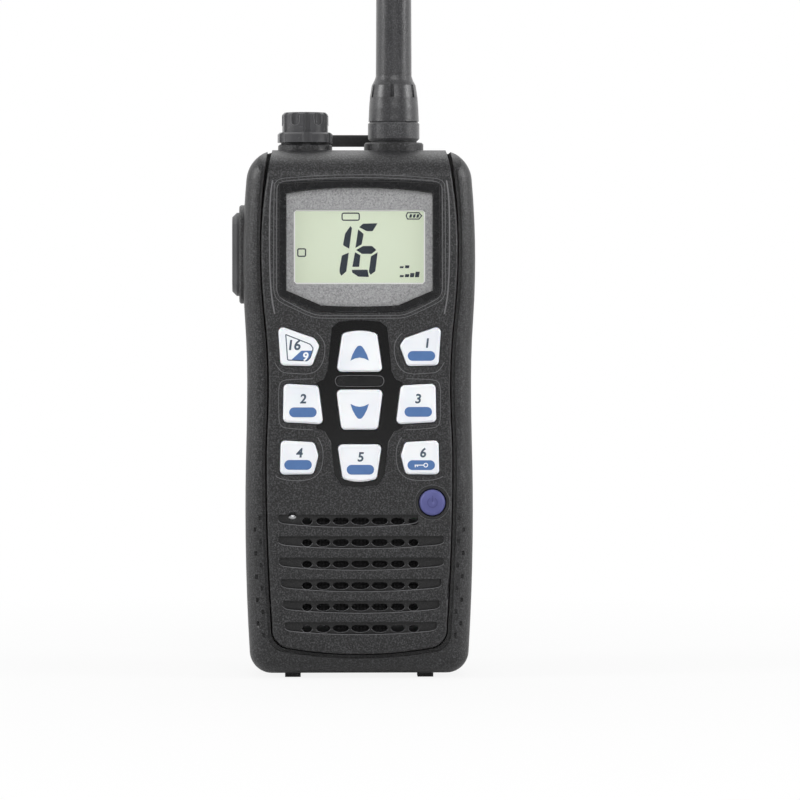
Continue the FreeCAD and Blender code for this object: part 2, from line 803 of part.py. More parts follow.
# Display pieces, front to back
display_bezel = new_body("display_bezel")
pad(display_bezel, "XZ", cover_front - 0.4, bezel_floor - 0.05,
    display_outline(S.display_half, *BEZEL))
pocket(display_bezel, "XZ", cover_front - 1, bezel_floor + 1,
       display_outline(S.panel_half, *PANEL))
chamfer(display_bezel, 0.25, lambda edge: in_plane(edge, "Y", cover_front - 0.4))
window_front = cover_front - 0.1
window_back = bezel_floor - 0.4
display_window = new_body("display_window")
pad(display_window, "XZ", window_front, window_back,
    display_outline(S.panel_half, *PANEL, grow=-S.running_fit))
window_mask = new_body("window_mask")
pad(window_mask, "XZ", window_back + 0.02, bezel_floor - 0.05,
    display_outline(S.panel_half, *PANEL, grow=-S.running_fit))
pocket(window_mask, "XZ", window_back - 1, bezel_floor + 1,
       rectangle(S.glass_width / -2, S.glass_width / 2,
                 display_z - S.glass_height / 2, display_z + S.glass_height / 2))
lcd_front = bezel_floor
lcd_back = plate_back - 0.05
block("lcd_panel", -glass_module_half, glass_module_half, lcd_front, lcd_back,
      module_z[0], module_z[1])
backlight_back = plate_back + 2.2
block("lcd_backlight", -glass_module_half, glass_module_half, lcd_back + 0.05,
      backlight_back, module_z[0], module_z[1])

# Keys, one body each, with a flange that holds them behind the cover
key_back = plate_back + 0.75
for name, x, z, corners, arch in KEYS:
    key = new_body(name)
    pad(key, "XZ", cover_front - S.key_proud, key_back,
        key_outline(x, z, corners, arch, 0))
    fillet(key, S.key_corner, lambda edge: runs_along(edge, "Y"))
    chamfer(key, S.key_edge,
           lambda edge: in_plane(edge, "Y", cover_front - S.key_proud))
    pocket(key, "XZ", cover_front - S.key_proud - 1, cover_front - S.key_proud + S.key_dish,
           key_outline(x, z, corners, arch, -0.95))
    pad(key, "XZ", plate_back + 0.08, key_back,
        key_outline(x, z, corners, arch, S.key_flange))
key_bar = new_body("key_bar")
pad(key_bar, "XZ", cover_front - 0.35, cover_front + 1.25, ("slot", 0.0, bar_z, 12.4, 2.4))
sheet_half = half - 9.1
sheet_front = key_back + S.key_travel + 0.05
block("keypad_sheet", -sheet_half, sheet_half, sheet_front, sheet_front + 0.7,
      keypad_z - 21.8, keypad_z + 22.6, 2.0)
power_key = new_body("power_key")
turned(power_key, "YZ", S.power_x, (0, power_z), (10, power_z),
       [(cover_front - 0.5, power_z), (key_back, power_z),
        (key_back, power_z + S.power_radius + 0.4),
        (plate_back + 0.08, power_z + S.power_radius + 0.4),
        (plate_back + 0.08, power_z + S.power_radius),
        (cover_front + 0.1, power_z + S.power_radius),
        (cover_front - 0.3, power_z + S.power_radius - 0.6)])
power_key_ring = new_body("power_key_ring")
turned(power_key_ring, "YZ", S.power_x, (0, power_z), (10, power_z),
       [(cover_front - 0.15, power_z + S.power_radius + 0.35),
        (cover_front + 0.88, power_z + S.power_radius + 0.35),
        (cover_front + 0.88, power_z + S.power_ring_radius),
        (cover_front - 0.15, power_z + S.power_ring_radius)])

# Boards and chassis
board_front = sheet_front + 0.75
board_back = board_front + 1.5
board_top = case_top - 8.8
board_low = mic_z - 3.0
main_board = new_body("main_board")
tab_top = power_z + 8
pad(main_board, "XZ", board_front, board_back,
    [(-S.mic_x - 3.4, board_low), (-S.mic_x + 2.8, board_low),
     (-S.mic_x + 2.8, board_low + 8.7), (S.power_x - 5.9, board_low + 8.7),
     (S.power_x - 5.9, board_low + 1.3), (S.power_x + 2.4, board_low + 1.3),
     (S.power_x + 2.4, tab_top), (board_half, tab_top), (board_half, board_top),
     (-board_half, board_top), (-board_half, tab_top), (-S.mic_x - 3.4, tab_top)])
chassis_front = board_back + 3.75
chassis_back = chassis_front + 1.6
radio_board_front = chassis_back + 1.5
chassis = new_body("chassis")
pad(chassis, "XZ", chassis_front, chassis_back,
    rectangle(-board_half, board_half, S.foot_height + 8.8, board_top))
pad(chassis, "XZ", board_back + 0.05, chassis_front + 0.5,
    *[square_leg(side * (board_half - 2.5), height, 1.8)
      for side in (-1, 1) for height in (S.foot_height + 56.8, board_top - 6.5)])
pad(chassis, "XZ", chassis_back - 0.5, radio_board_front - 0.05,
    *[square_leg(side * (board_half - 4), height, 1.6)
      for side in (-1, 1) for height in (case_top - 81.3, case_top - 21.3)])
pad(chassis, "XZ", chassis_back - 0.5, cavity_back - 0.05,
    *[square_leg(side * (board_half - 4.5), height, 2.2)
      for side in (-1, 1) for height in (S.foot_height + 12.8, case_top - 12.8)])
pocket(chassis, "XZ", chassis_front - 1, chassis_back + 1,
       rectangle(-6, 6, case_top - 36, case_top - 14))
block("radio_board", -board_half + 1, board_half - 1, radio_board_front,
      radio_board_front + 1.4, case_top - 86.3, case_top - 16.3)
shield_can = block("shield_can", -board_half + 4, board_half - 4, radio_board_front + 1.45,
                   radio_board_front + 4.7, case_top - 71.3, case_top - 26.3)
pocket(shield_can, "XZ", radio_board_front + 1, radio_board_front + 4.3,
       rectangle(-board_half + 4.4, board_half - 4.4, case_top - 70.9, case_top - 26.7))

# Speaker, its cloth and the microphone
speaker_front = plate_back + 0.7
speaker_back = chassis_front - 0.1
speaker = new_body("speaker")
speaker_z = S.speaker_height
turned(speaker, "YZ", 0.0, (0, speaker_z), (10, speaker_z),
       [(speaker_front + 2.2, speaker_z),
        (speaker_front + 1.4, speaker_z + 5.0),
        (speaker_front + 0.8, speaker_z + 14.0),
        (speaker_front, speaker_z + 15.5),
        (speaker_front, speaker_z + S.speaker_radius),
        (speaker_front + 2.4, speaker_z + S.speaker_radius),
        (speaker_front + 3.8, speaker_z + 10.5),
        (speaker_back, speaker_z + 10.0),
        (speaker_back, speaker_z)])
cloth = new_body("speaker_cloth")
pad(cloth, "XZ", plate_back + 0.05, speaker_front - 0.05,
    ("circle", 0.0, speaker_z, S.speaker_radius))
microphone = new_body("microphone")
pad(microphone, "XZ", plate_back + 0.4, board_front - 0.05,
    ("circle", -S.mic_x, mic_z, 2.0))
mic_boot = new_body("microphone_boot")
pad(mic_boot, "XZ", plate_back + 0.05, board_front - 0.6,
    ("circle", -S.mic_x, mic_z, 2.9))
pocket(mic_boot, "XZ", plate_back, board_front,
       ("circle", -S.mic_x, mic_z, 2.0 + S.running_fit))

# Talk pad, the strip round it and the switch behind it
talk_frame = new_body("talk_frame")
pad(talk_frame, "YZ", -half - 1.0, frame_floor - 0.05, talk_window(frame_margin - 0.15))
chamfer(talk_frame, 0.4, lambda edge: in_plane(edge, "X", -half - 1.0))
pocket(talk_frame, "YZ", -half - 2, frame_floor + 1, talk_window(0.3))
talk_pad = new_body("talk_pad")
pad(talk_pad, "YZ", -half - S.talk_proud, pad_floor - S.talk_travel - 0.05, talk_window(0))
chamfer(talk_pad, 1.2, lambda edge: in_plane(edge, "X", -half - S.talk_proud))
switch_right = -board_half - 0.1
switch_left = -half + 5.1
talk_switch = new_body("talk_switch")
pad(talk_switch, "YZ", switch_left, switch_right,
    rectangle(S.talk_y - 2.5, S.talk_y + 2.5, talk_z - 3.5, talk_z + 3.5))
pad(talk_switch, "YZ", pad_floor - 0.04, switch_left + 0.5,
    ("circle", S.talk_y, talk_z, 1.6))

# Antenna: socket, stud, sealing washer, collar and whip
socket_low = case_top - 9.0
antenna_socket = new_body("antenna_socket")
pad(antenna_socket, "XY", socket_low, antenna_boss_top - 0.05,
    ("circle", S.antenna_x, S.antenna_y, socket_radius))
pocket(antenna_socket, "XY", socket_low + 2, antenna_boss_top + 1,
       ("circle", S.antenna_x, S.antenna_y, S.stud_radius + S.thread_clearance))
collar_low = antenna_boss_top + 0.5
collar_top = collar_low + S.collar_height
antenna_seal = new_body("antenna_seal")
pad(antenna_seal, "XY", antenna_boss_top + 0.02, collar_low - 0.03,
    ("circle", S.antenna_x, S.antenna_y, socket_radius + 2.0))
pocket(antenna_seal, "XY", antenna_boss_top - 1, collar_low + 1,
       ("circle", S.antenna_x, S.antenna_y, S.stud_radius + S.running_fit * 2))
antenna_stud = new_body("antenna_stud")
stud_low = antenna_boss_top - 5.6
pad(antenna_stud, "XY", stud_low, collar_top + 6,
    ("circle", S.antenna_x, S.antenna_y, S.stud_radius))
chamfer(antenna_stud, 0.5, lambda edge: in_plane(edge, "Z", stud_low))
collar = new_body("antenna_collar")
pad(collar, "XY", collar_low, collar_top,
    ("circle", S.antenna_x, S.antenna_y, S.collar_radius))
chamfer(collar, 0.6, lambda edge: in_plane(edge, "Z", collar_low)
       or in_plane(edge, "Z", collar_top))
pocket(collar, "XY", collar_low - 1, collar_top + 1,
       ("circle", S.antenna_x, S.antenna_y, S.stud_radius + S.running_fit))
whip = new_body("antenna_whip")
flare_low = collar_top + 0.05
flare_top = flare_low + 12.2
whip_top = antenna_boss_top + S.antenna_length
whip_x = S.antenna_x
turned(whip, "XZ", -S.antenna_y, (whip_x, 0), (whip_x, 50),
       [(whip_x + S.stud_radius + S.running_fit, flare_low),
        (whip_x + S.collar_radius - 0.15, flare_low),
        (whip_x + S.collar_radius - 0.3, flare_low + 3.5),
        (whip_x + S.whip_radius + 1.6, flare_low + 6.5),
        (whip_x + S.whip_radius + 1.1, flare_low + 9.7),
        (whip_x + S.whip_radius + 0.4, flare_low + 11.0),
        (whip_x + S.whip_radius, flare_top),
        (whip_x + S.whip_radius - 0.6, whip_top - 2.5),
        (whip_x + 3.4, whip_top - 0.8),
        (whip_x + 2.2, whip_top),
        (whip_x, whip_top),
        (whip_x, collar_top + 6.1),
        (whip_x + S.stud_radius + S.running_fit, collar_top + 6.1)])
grip_reach = S.whip_radius + 1.27
pocket(whip, "XY", flare_low + 6.4, flare_low + 9.9,
       *around(S.antenna_x, S.antenna_y, grip_reach, -95, 0.55))

# Accessory connector, its seal and the screw cap
jack_socket = new_body("jack_socket")
jack_floor = jack_boss_top - 3.2
pad(jack_socket, "XY", jack_boss_top - 9, jack_boss_top - 0.05,
    ("circle", S.jack_x, S.jack_y, S.socket_radius))
pocket(jack_socket, "XY", jack_floor, jack_boss_top + 1,
       ("circle", S.jack_x, S.jack_y, S.socket_radius - 1.3))
pad(jack_socket, "XY", jack_floor - 0.5, jack_floor + 0.3,
    *[("circle", S.jack_x + 2.0 * math.cos(turn), S.jack_y + 2.0 * math.sin(turn), 0.45)
      for turn in (0.4, 1.97, 3.54, 5.11)])
cap_low = jack_boss_top + 0.5
cap_seal = new_body("jack_cap_seal")
pad(cap_seal, "XY", jack_boss_top + 0.02, cap_low - 0.03,
    ("circle", S.jack_x, S.jack_y, S.socket_radius + 1.5))
pocket(cap_seal, "XY", jack_boss_top - 1, cap_low + 1,
       ("circle", S.jack_x, S.jack_y, S.socket_radius - 1.2))
jack_cap = new_body("jack_cap")
cap_flange_top = cap_low + S.cap_flange_height
cap_top = cap_flange_top + S.cap_grip_height
pad(jack_cap, "XY", cap_low, cap_flange_top,
    ("circle", S.jack_x, S.jack_y, S.cap_flange_radius))
chamfer(jack_cap, 0.5, lambda edge: in_plane(edge, "Z", cap_flange_top))
pad(jack_cap, "XY", cap_flange_top - 0.5, cap_top,
    ("circle", S.jack_x, S.jack_y, S.cap_radius))
chamfer(jack_cap, 0.6, lambda edge: in_plane(edge, "Z", cap_top))
pocket(jack_cap, "XY", cap_flange_top + 0.1, cap_top + 1,
       *around(S.jack_x, S.jack_y, S.cap_radius + 0.25, -86, 0.95))
pocket(jack_cap, "XY", cap_top - 3.4, cap_top + 1,
       *around(S.jack_x, S.jack_y, S.cap_radius + 0.4, -56, S.cap_scallop))
pocket(jack_cap, "XY", cap_low - 1, cap_flange_top + 0.1,
       *around(S.jack_x, S.jack_y, S.cap_flange_radius + 1.5, -86, 2.1))
pad(jack_cap, "XY", jack_floor + 0.5, cap_low + 0.5,
    ("circle", S.jack_x, S.jack_y, S.socket_radius - 1.35))

# Screws that pull the cover into the case, and the spring pins for the pack
case_screws = new_body("case_screws")
pad(case_screws, "XZ", cavity_back - 11, head_floor + 0.02,
    *[("circle", x, z, S.screw_radius) for x, z in screw_places])
pad(case_screws, "XZ", head_floor + 0.01, S.case_back - 0.2,
    *[("circle", x, z, S.screw_head_radius) for x, z in screw_places])
case_contacts = new_body("case_contacts")
contact_places = [(S.contact_spacing * side, contact_z) for side in (-1, 0, 1)]
pad(case_contacts, "XZ", cavity_back - 0.05, S.case_back + S.pack_gap - 0.05,
    *[("circle", x, z, 0.8) for x, z in contact_places])
pad(case_contacts, "XZ", cavity_back - 1.9, cavity_back - 0.04,
    *[square_leg(x, z, 1.4) for x, z in contact_places])

# Battery pack
pack_front = S.case_back + S.pack_gap
pack_back = pack_front + S.pack_depth
pack_top = case_top - S.pack_top_drop
pack_inner_back = pack_back - S.pack_wall
cell_low = S.foot_height + 26.8
cell_top = pack_top - 8.5
cell_half = S.pack_half - 2.8
battery_case = new_body("battery_case")
pad(battery_case, "XZ", pack_front, pack_back,
    rectangle(-S.pack_half, S.pack_half, S.foot_height, pack_top))
fillet(battery_case, S.pack_corner, lambda edge: runs_along(edge, "Y"))
fillet(battery_case, S.pack_round, lambda edge: in_plane(edge, "Y", pack_back))
pocket(battery_case, "YZ", -half, half,
       [(pack_back + 2, pack_top + 4), (pack_back - 7.0, pack_top + 0.1),
        (pack_back + 0.1, pack_top - 6.0), (pack_back + 2, pack_top - 6.0)])
pocket(battery_case, "XZ", pack_front - 1, pack_inner_back,
       rectangle(-cell_half, cell_half, cell_low, cell_top))
latch_low = S.foot_height + 4
latch_high = S.foot_height + 22.5
latch_floor = pack_back - 5
pocket(battery_case, "XZ", latch_floor, pack_back + 1,
       rectangle(-9.0, 9.0, latch_low, latch_high))
clip_pin_z = case_top - S.clip_pin_drop
clip_pin_y = pack_back + S.clip_pin_offset
clip_screw_places = [(-6.6, clip_pin_z - 11.5), (6.6, clip_pin_z - 11.5)]
pocket(battery_case, "XZ", pack_inner_back - 1, pack_back + 1,
       *[("circle", x, z, 1.2 + S.running_fit) for x, z in clip_screw_places])
terminal_places = [(-17.0, S.foot_height + 10.8), (17.0, S.foot_height + 10.8)]
pocket(battery_case, "XZ", pack_back - 0.5, pack_back + 1,
       *[("circle", x, z, 2.0 + S.running_fit) for x, z in terminal_places])
rear_feet = []
for side in (-1, 1):
    rear_feet.append(rectangle(foot_half * side - S.foot_width / 2,
                               foot_half * side + S.foot_width / 2,
                               pack_front + 3.0, pack_front + 8.5))
pad(battery_case, "XY", 0, S.foot_height + 0.6, *rear_feet)
lid_back = pack_front + 1.8
battery_lid = block("battery_lid", -cell_half + 0.1, cell_half - 0.1, pack_front, lid_back,
                    cell_low + 0.1, cell_top - 0.1)
pocket(battery_lid, "XZ", pack_front - 1, pack_front + 0.7,
       *[("circle", x, z, 1.5 + S.running_fit) for x, z in contact_places])
battery_contacts = new_body("battery_contacts")
pad(battery_contacts, "XZ", pack_front + 0.02, pack_front + 0.68,
    *[("circle", x, z, 1.5) for x, z in contact_places])
cells = new_body("battery_cells")
cell_stop = cell_top - 18
pad(cells, "XZ", lid_back + 0.1, pack_inner_back - 0.1,
    rectangle(-cell_half + 0.8, -0.4, cell_low + 0.3, cell_stop),
    rectangle(0.4, cell_half - 0.8, cell_low + 0.3, cell_stop))
fillet(cells, 2.0, lambda edge: runs_along(edge, "Z"))
battery_board = block("battery_board", -cell_half + 3, cell_half - 3, lid_back + 0.2,
                      lid_back + 1.6, cell_stop + 1.0, cell_top - 3.0)
terminals = new_body("charging_terminals")
pad(terminals, "XZ", pack_back - 0.48, pack_back + 0.1,
    *[("circle", x, z, 2.0) for x, z in terminal_places])

# Pack latch: a thumb slide in the back of the pack, pushed down by a small spring
latch_top = latch_high - 6.0
latch_face = pack_back - 1.1
latch = new_body("battery_latch")
pad(latch, "XZ", latch_floor + 0.08, latch_face,
    rectangle(-8.7, 8.7, latch_low + 0.1, latch_top))
pad(latch, "XZ", latch_face - 0.2, pack_back + 0.7,
    rectangle(-7.0, 7.0, latch_low + 2.0, latch_top - 1.5))
chamfer(latch, 0.4, lambda edge: in_plane(edge, "Y", pack_back + 0.7))
for index in range(3):
    rib_z = latch_low + 3.6 + 2.4 * index
    pocket(latch, "XZ", pack_back + 0.2, pack_back + 1,
           rectangle(-5.8, 5.8, rib_z, rib_z + 1.0))
spring_y = (latch_floor + latch_face) / 2
pocket(latch, "XY", latch_low + 3.2, latch_top + 1, ("circle", 0.0, spring_y, 1.5))


def print_least_gap(body, along, pitch):
    """Print the least distance from one turn of a coil to another, on edge points."""
    longest = max(edge.Length for edge in body.Shape.Edges)
    points = [point for edge in body.Shape.Edges if edge.Length > longest / 2
              for point in edge.discretize(COIL_POINTS)]
    gap = min(one.distanceToPoint(other) for place, one in enumerate(points)
              for other in points[place + 1:]
              if abs((one - other).dot(along)) > pitch / 2)
    print(body.Label, "least gap to itself", round(gap, 2))


def coil(name, plane, offset, axis_start, axis_end, profile_x, profile_y, wire, pitch,
         height):
    """Spring wound from a small square wire."""
    body = new_body(name)
    sketch = new_sketch(body, plane, offset)
    wire = sized(wire)
    square = rectangle(profile_x - wire, profile_x + wire,
                       profile_y - wire, profile_y + wire)
    draw(sketch, [square, ("axis", axis_start, axis_end)])
    feature = body.newObject("PartDesign::AdditiveHelix", name + "_helix")
    feature.Profile = sketch
    feature.ReferenceAxis = (sketch, ["Axis0"])
    feature.Mode = 0
    feature.Pitch = pitch
    height = sized(height)
    feature.Height = height.value
    feature.setExpression("Height", height.text)
    feature.Angle = 0
    body.Tip = feature
    doc.recompute()
    across, up = [sized(end).value - sized(start).value
                  for start, end in zip(axis_start, axis_end)]
    along = FreeCAD.Vector(across, up, 0) if plane == "XY" else FreeCAD.Vector(across, 0, up)
    along.normalize()
    print_least_gap(body, along, pitch)
    return body


latch_spring_low = latch_low + 3.2 + S.latch_travel + 0.2
coil("latch_spring", "XZ", -spring_y, (0, 0), (0, 10), Size(1.1), latch_spring_low + 0.3,
     0.2, 3.0, latch_high - latch_spring_low - 0.6)

# Belt clip: base with two ears, pin, sprung lever with a thumb bar on top
clip_base_front = pack_back + 0.05
clip_base_back = clip_base_front + 1.6
clip_plate = new_body("clip_plate")
pad(clip_plate, "XZ", clip_base_front, clip_base_back,
    rectangle(-S.clip_half - 2.8, S.clip_half + 2.8, clip_pin_z - 16, clip_pin_z + 2.5))
fillet(clip_plate, 1.5, lambda edge: runs_along(edge, "Y"))
for side in (-1, 1):
    inner = S.clip_half + 0.2
    outer = S.clip_half + 2.7
    low, high = (inner, outer) if side > 0 else (-outer, -inner)
    pad(clip_plate, "YZ", low, high,
        [(clip_base_back - 0.3, clip_pin_z - 4.5), (clip_pin_y, clip_pin_z - 2.6),
         (clip_pin_y, clip_pin_z + 2.6, -2.5), (clip_base_back - 0.3, clip_pin_z + 2.4)])
pocket(clip_plate, "YZ", -half, half,
       ("circle", clip_pin_y, clip_pin_z, S.clip_pin_radius + S.running_fit))
pocket(clip_plate, "XZ", clip_base_front - 1, clip_base_back + 1,
       *[("circle", x, z, 1.2 + S.running_fit) for x, z in clip_screw_places])
pocket(clip_plate, "XZ", clip_base_back - 0.7, clip_base_back + 1,
       *[("circle", x, z, 2.3) for x, z in clip_screw_places])
clip_pin = new_body("clip_pin")
pad(clip_pin, "YZ", -S.clip_half - 3.0, S.clip_half + 3.0,
    ("circle", clip_pin_y, clip_pin_z, S.clip_pin_radius))
clip_screws = new_body("clip_screws")
pad(clip_screws, "XZ", pack_inner_back + 0.2, clip_base_back - 0.68,
    *[("circle", x, z, 1.2) for x, z in clip_screw_places])
pad(clip_screws, "XZ", clip_base_back - 0.69, clip_base_back,
    *[("circle", x, z, 2.2) for x, z in clip_screw_places])
tip_z = clip_pin_z - S.clip_length
thumb_z = clip_pin_z + S.thumb_rise
arm_inner = clip_pin_y + 1.6
arm_outer = clip_pin_y + 3.8
clip_lever = new_body("clip_lever")
pad(clip_lever, "YZ", -S.clip_half, S.clip_half,
    [(arm_inner + 0.4, tip_z), (arm_outer - 0.2, tip_z + 2.5),
     (arm_outer, clip_pin_z - 6), (clip_pin_y + 2.5, clip_pin_z),
     (clip_pin_y + 1.8, clip_pin_z + 5), (clip_pin_y + 1.6, thumb_z - 0.6),
     (clip_pin_y + 1.0, thumb_z), (clip_pin_y - 0.8, thumb_z),
     (clip_pin_y - 1.2, thumb_z - 0.6), (clip_pin_y - 1.2, clip_pin_z + 5),
     (clip_pin_y - 1.6, clip_pin_z + 1.6), (clip_pin_y - 2.25, clip_pin_z),
     (clip_pin_y - 1.6, clip_pin_z - 1.6), (clip_pin_y + 1.4, clip_pin_z - 4.5),
     (arm_inner, clip_pin_z - 7), (arm_inner, tip_z + 10.5),
     (pack_back + 0.3, tip_z + 5), (pack_back + 0.3, tip_z + 2)])
tip_cut = Size(3.6)
pocket(clip_lever, "XZ", pack_back - 2, arm_outer + 2,
       [(-S.clip_half - 1, tip_z - 1), (tip_cut - S.clip_half, tip_z - 1),
        (-S.clip_half - 1, tip_z + tip_cut)],
       [(S.clip_half - tip_cut, tip_z - 1), (S.clip_half + 1, tip_z - 1),
        (S.clip_half + 1, tip_z + tip_cut)])
pocket(clip_lever, "YZ", -half, half,
       ("circle", clip_pin_y, clip_pin_z, S.clip_pin_radius + S.running_fit))
pocket(clip_lever, "XZ", clip_pin_y - 6, clip_pin_y + 6,
       rectangle(-3.7, 3.7, clip_pin_z - 3.4, clip_pin_z + 3.8))
pocket(clip_lever, "XZ", clip_pin_y - 6, clip_pin_y + 6,
       rectangle(-6.9, 6.9, clip_pin_z + 6.0, thumb_z - 3.2))
clip_wire = 0.3
coil("clip_spring", "XY", clip_pin_z, (0, clip_pin_y), (10, clip_pin_y), Size(-3.2),
     clip_pin_y - S.clip_pin_radius - S.running_fit - clip_wire, clip_wire, 2.0, Size(6.2))

# Check every object, then write one file for each node
doc.recompute()
for item in doc.Objects:
    if "Invalid" in item.State or "Error" in item.State:
        raise ValueError("%s is %s" % (item.Label, item.State))
os.makedirs(FOLDER, exist_ok=True)
bodies = [item for item in doc.Objects if item.TypeId == "PartDesign::Body"]
faulty = [body.Label for body in bodies
          if body.Shape.isNull() or not body.Shape.isValid()]
if faulty:
    raise ValueError("no valid shape: " + ", ".join(faulty))
for body in bodies:
    body.Shape.exportStep(os.path.join(FOLDER, body.Label + ".step"))
    print(body.Label, round(body.Shape.Volume, 1), len(body.Shape.Solids))
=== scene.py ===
"""Looks of a handheld marine radio, on the frame that the CAD and MuJoCo share."""
import json
import logging
import math
from contextlib import contextmanager
from dataclasses import dataclass, field
from enum import Enum
from typing import Any, Iterable, Iterator, Optional, Sequence

import bpy
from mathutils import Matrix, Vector

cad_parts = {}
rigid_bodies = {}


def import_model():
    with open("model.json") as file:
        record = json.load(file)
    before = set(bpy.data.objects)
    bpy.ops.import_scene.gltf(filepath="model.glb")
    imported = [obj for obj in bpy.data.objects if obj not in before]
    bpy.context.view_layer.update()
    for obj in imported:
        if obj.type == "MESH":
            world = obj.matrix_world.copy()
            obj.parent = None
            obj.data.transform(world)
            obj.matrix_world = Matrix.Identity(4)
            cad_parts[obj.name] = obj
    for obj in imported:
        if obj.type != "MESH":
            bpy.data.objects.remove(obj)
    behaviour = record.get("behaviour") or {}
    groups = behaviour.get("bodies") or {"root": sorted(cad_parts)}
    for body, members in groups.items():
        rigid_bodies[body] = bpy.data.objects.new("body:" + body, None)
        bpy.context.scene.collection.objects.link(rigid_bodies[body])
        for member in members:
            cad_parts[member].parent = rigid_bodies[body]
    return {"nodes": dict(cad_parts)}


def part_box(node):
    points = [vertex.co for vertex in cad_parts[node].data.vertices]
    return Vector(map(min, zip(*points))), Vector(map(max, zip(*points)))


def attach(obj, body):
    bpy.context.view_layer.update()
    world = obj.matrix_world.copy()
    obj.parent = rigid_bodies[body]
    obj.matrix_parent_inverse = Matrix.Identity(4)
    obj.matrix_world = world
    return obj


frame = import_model()
for stray in [item for item in bpy.data.objects if item.name in ("Cube", "Light", "Camera")]:
    bpy.data.objects.remove(stray)
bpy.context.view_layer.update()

LOG = logging.getLogger("marine_radio")
MM = 0.001
Outline = Sequence[tuple[float, float]]
Settings = dict[Any, Any]

# A noise texture's values lie mostly between these two.
NOISE_LOW = 0.3
NOISE_HIGH = 0.7
# Moulded grain starts to catch the light at the first of these values of its noise.
SPARKLE_LOW = 0.46
SPARKLE_HIGH = 0.69
# A wave texture draws about this many bands per unit of its scale.
BANDS_PER_UNIT = 3.2
# Height of a numeral as a share of its text's size.
NUMERAL_SHARE = 0.73
# How far a numeral's stroke is swelled outwards, in mm.
STROKE_SWELL = 0.09
# Turns a flat piece or a numeral so that it faces the front.
FACING_FRONT = (math.pi / 2, 0, 0)
# Faces that meet at less than this angle are shaded as one smooth surface.
SMOOTH_DEGREES = 35


# Shader helpers


def linear(hex_text: str) -> tuple[float, float, float, float]:
    """Turn an sRGB hex colour into linear values.

    Args:
        hex_text: six hex digits with a leading hash.

    Returns:
        Red, green, blue and alpha for a shader socket.
    """
    parts = [int(hex_text[place:place + 2], 16) / 255 for place in (1, 3, 5)]
    curve = [part / 12.92 if part <= 0.04045 else ((part + 0.055) / 1.055) ** 2.4
             for part in parts]
    return (curve[0], curve[1], curve[2], 1.0)


def add_node(tree: bpy.types.NodeTree, kind: str, settings: Optional[Settings] = None,
             links: Optional[Settings] = None) -> bpy.types.Node:
    """Add one shader node, set its values and link its inputs.

    Args:
        tree: the material's node tree.
        kind: the node's type name.
        settings: attributes, or inputs by name or number, with their values.
        links: inputs by name or number, with the socket that feeds each.

    Returns:
        The new node.
    """
    node = tree.nodes.new(kind)
    for name, value in (settings or {}).items():
        if isinstance(name, str) and hasattr(node, name):
            setattr(node, name, value)
        else:
            node.inputs[name].default_value = value
    for name, source in (links or {}).items():
        tree.links.new(source, node.inputs[name])
    return node


def new_material(name: str) -> tuple[bpy.types.Material, bpy.types.NodeTree]:
    """Start an empty node material.

    Args:
        name: the finish's name.

    Returns:
        The material and its cleared node tree.
    """
    material = bpy.data.materials.new(name)
    material.use_nodes = True
    material.node_tree.nodes.clear()
    return material, material.node_tree


def close_material(tree: bpy.types.NodeTree, settings: Settings,
                   links: Settings) -> None:
    """Add the shader and the output of a finish.

    Args:
        tree: the material's node tree.
        settings: constant values of the shader's own sockets.
        links: sockets of the shader that a pattern feeds.
    """
    shader = add_node(tree, "ShaderNodeBsdfPrincipled", settings, links)
    add_node(tree, "ShaderNodeOutputMaterial", links={"Surface": shader.outputs["BSDF"]})


def object_place(tree: bpy.types.NodeTree) -> bpy.types.NodeSocket:
    """Return the socket that gives a point's place on the object, in metres."""
    return add_node(tree, "ShaderNodeTexCoord").outputs["Object"]


def noise_scale(size_mm: float) -> float:
    """Return the scale at which a noise texture's grains are about the given size."""
    return 1.0 / (size_mm * MM * 2)


def grains(tree: bpy.types.NodeTree, size_mm: float, detail: float = 2.0,
           roughness: float = 0.5) -> bpy.types.NodeSocket:
    """Return a noise socket whose grains are about the given size."""
    return add_node(tree, "ShaderNodeTexNoise",
                    {"Scale": noise_scale(size_mm), "Detail": detail,
                     "Roughness": roughness},
                    {"Vector": object_place(tree)}).outputs["Fac"]


def spread(tree: bpy.types.NodeTree, source: bpy.types.NodeSocket, low: float,
           high: float, out_low: float, out_high: float) -> bpy.types.NodeSocket:
    """Return the source stretched from one range of values to another."""
    return add_node(tree, "ShaderNodeMapRange",
                    {"From Min": low, "From Max": high, "To Min": out_low,
                     "To Max": out_high}, {"Value": source}).outputs["Result"]


def varied(tree: bpy.types.NodeTree, noise: bpy.types.NodeSocket, low: float,
           high: float) -> bpy.types.NodeSocket:
    """Return a noise stretched to run from low to high."""
    return spread(tree, noise, NOISE_LOW, NOISE_HIGH, low, high)


def between(tree: bpy.types.NodeTree, value: bpy.types.NodeSocket, low: float,
            high: float) -> bpy.types.NodeSocket:
    """Return 1 where a value in metres lies between two limits in mm, else 0."""
    return add_node(tree, "ShaderNodeMath",
                    {"operation": "COMPARE", 1: (low + high) / 2 * MM,
                     2: (high - low) / 2 * MM}, {0: value}).outputs["Value"]


def product(tree: bpy.types.NodeTree,
            *factors: bpy.types.NodeSocket) -> bpy.types.NodeSocket:
    """Return the product of the factors."""
    result = factors[0]
    for factor in factors[1:]:
        result = add_node(tree, "ShaderNodeMath", {"operation": "MULTIPLY"},
                          {0: result, 1: factor}).outputs["Value"]
    return result


def two_tone(tree: bpy.types.NodeTree, mask: bpy.types.NodeSocket, dark: str,
             light: str) -> bpy.types.NodeSocket:
    """Return a colour that goes from dark to light with the mask."""
    return add_node(tree, "ShaderNodeMix",
                    {"data_type": "RGBA", 6: linear(dark), 7: linear(light)},
                    {0: mask}).outputs[2]


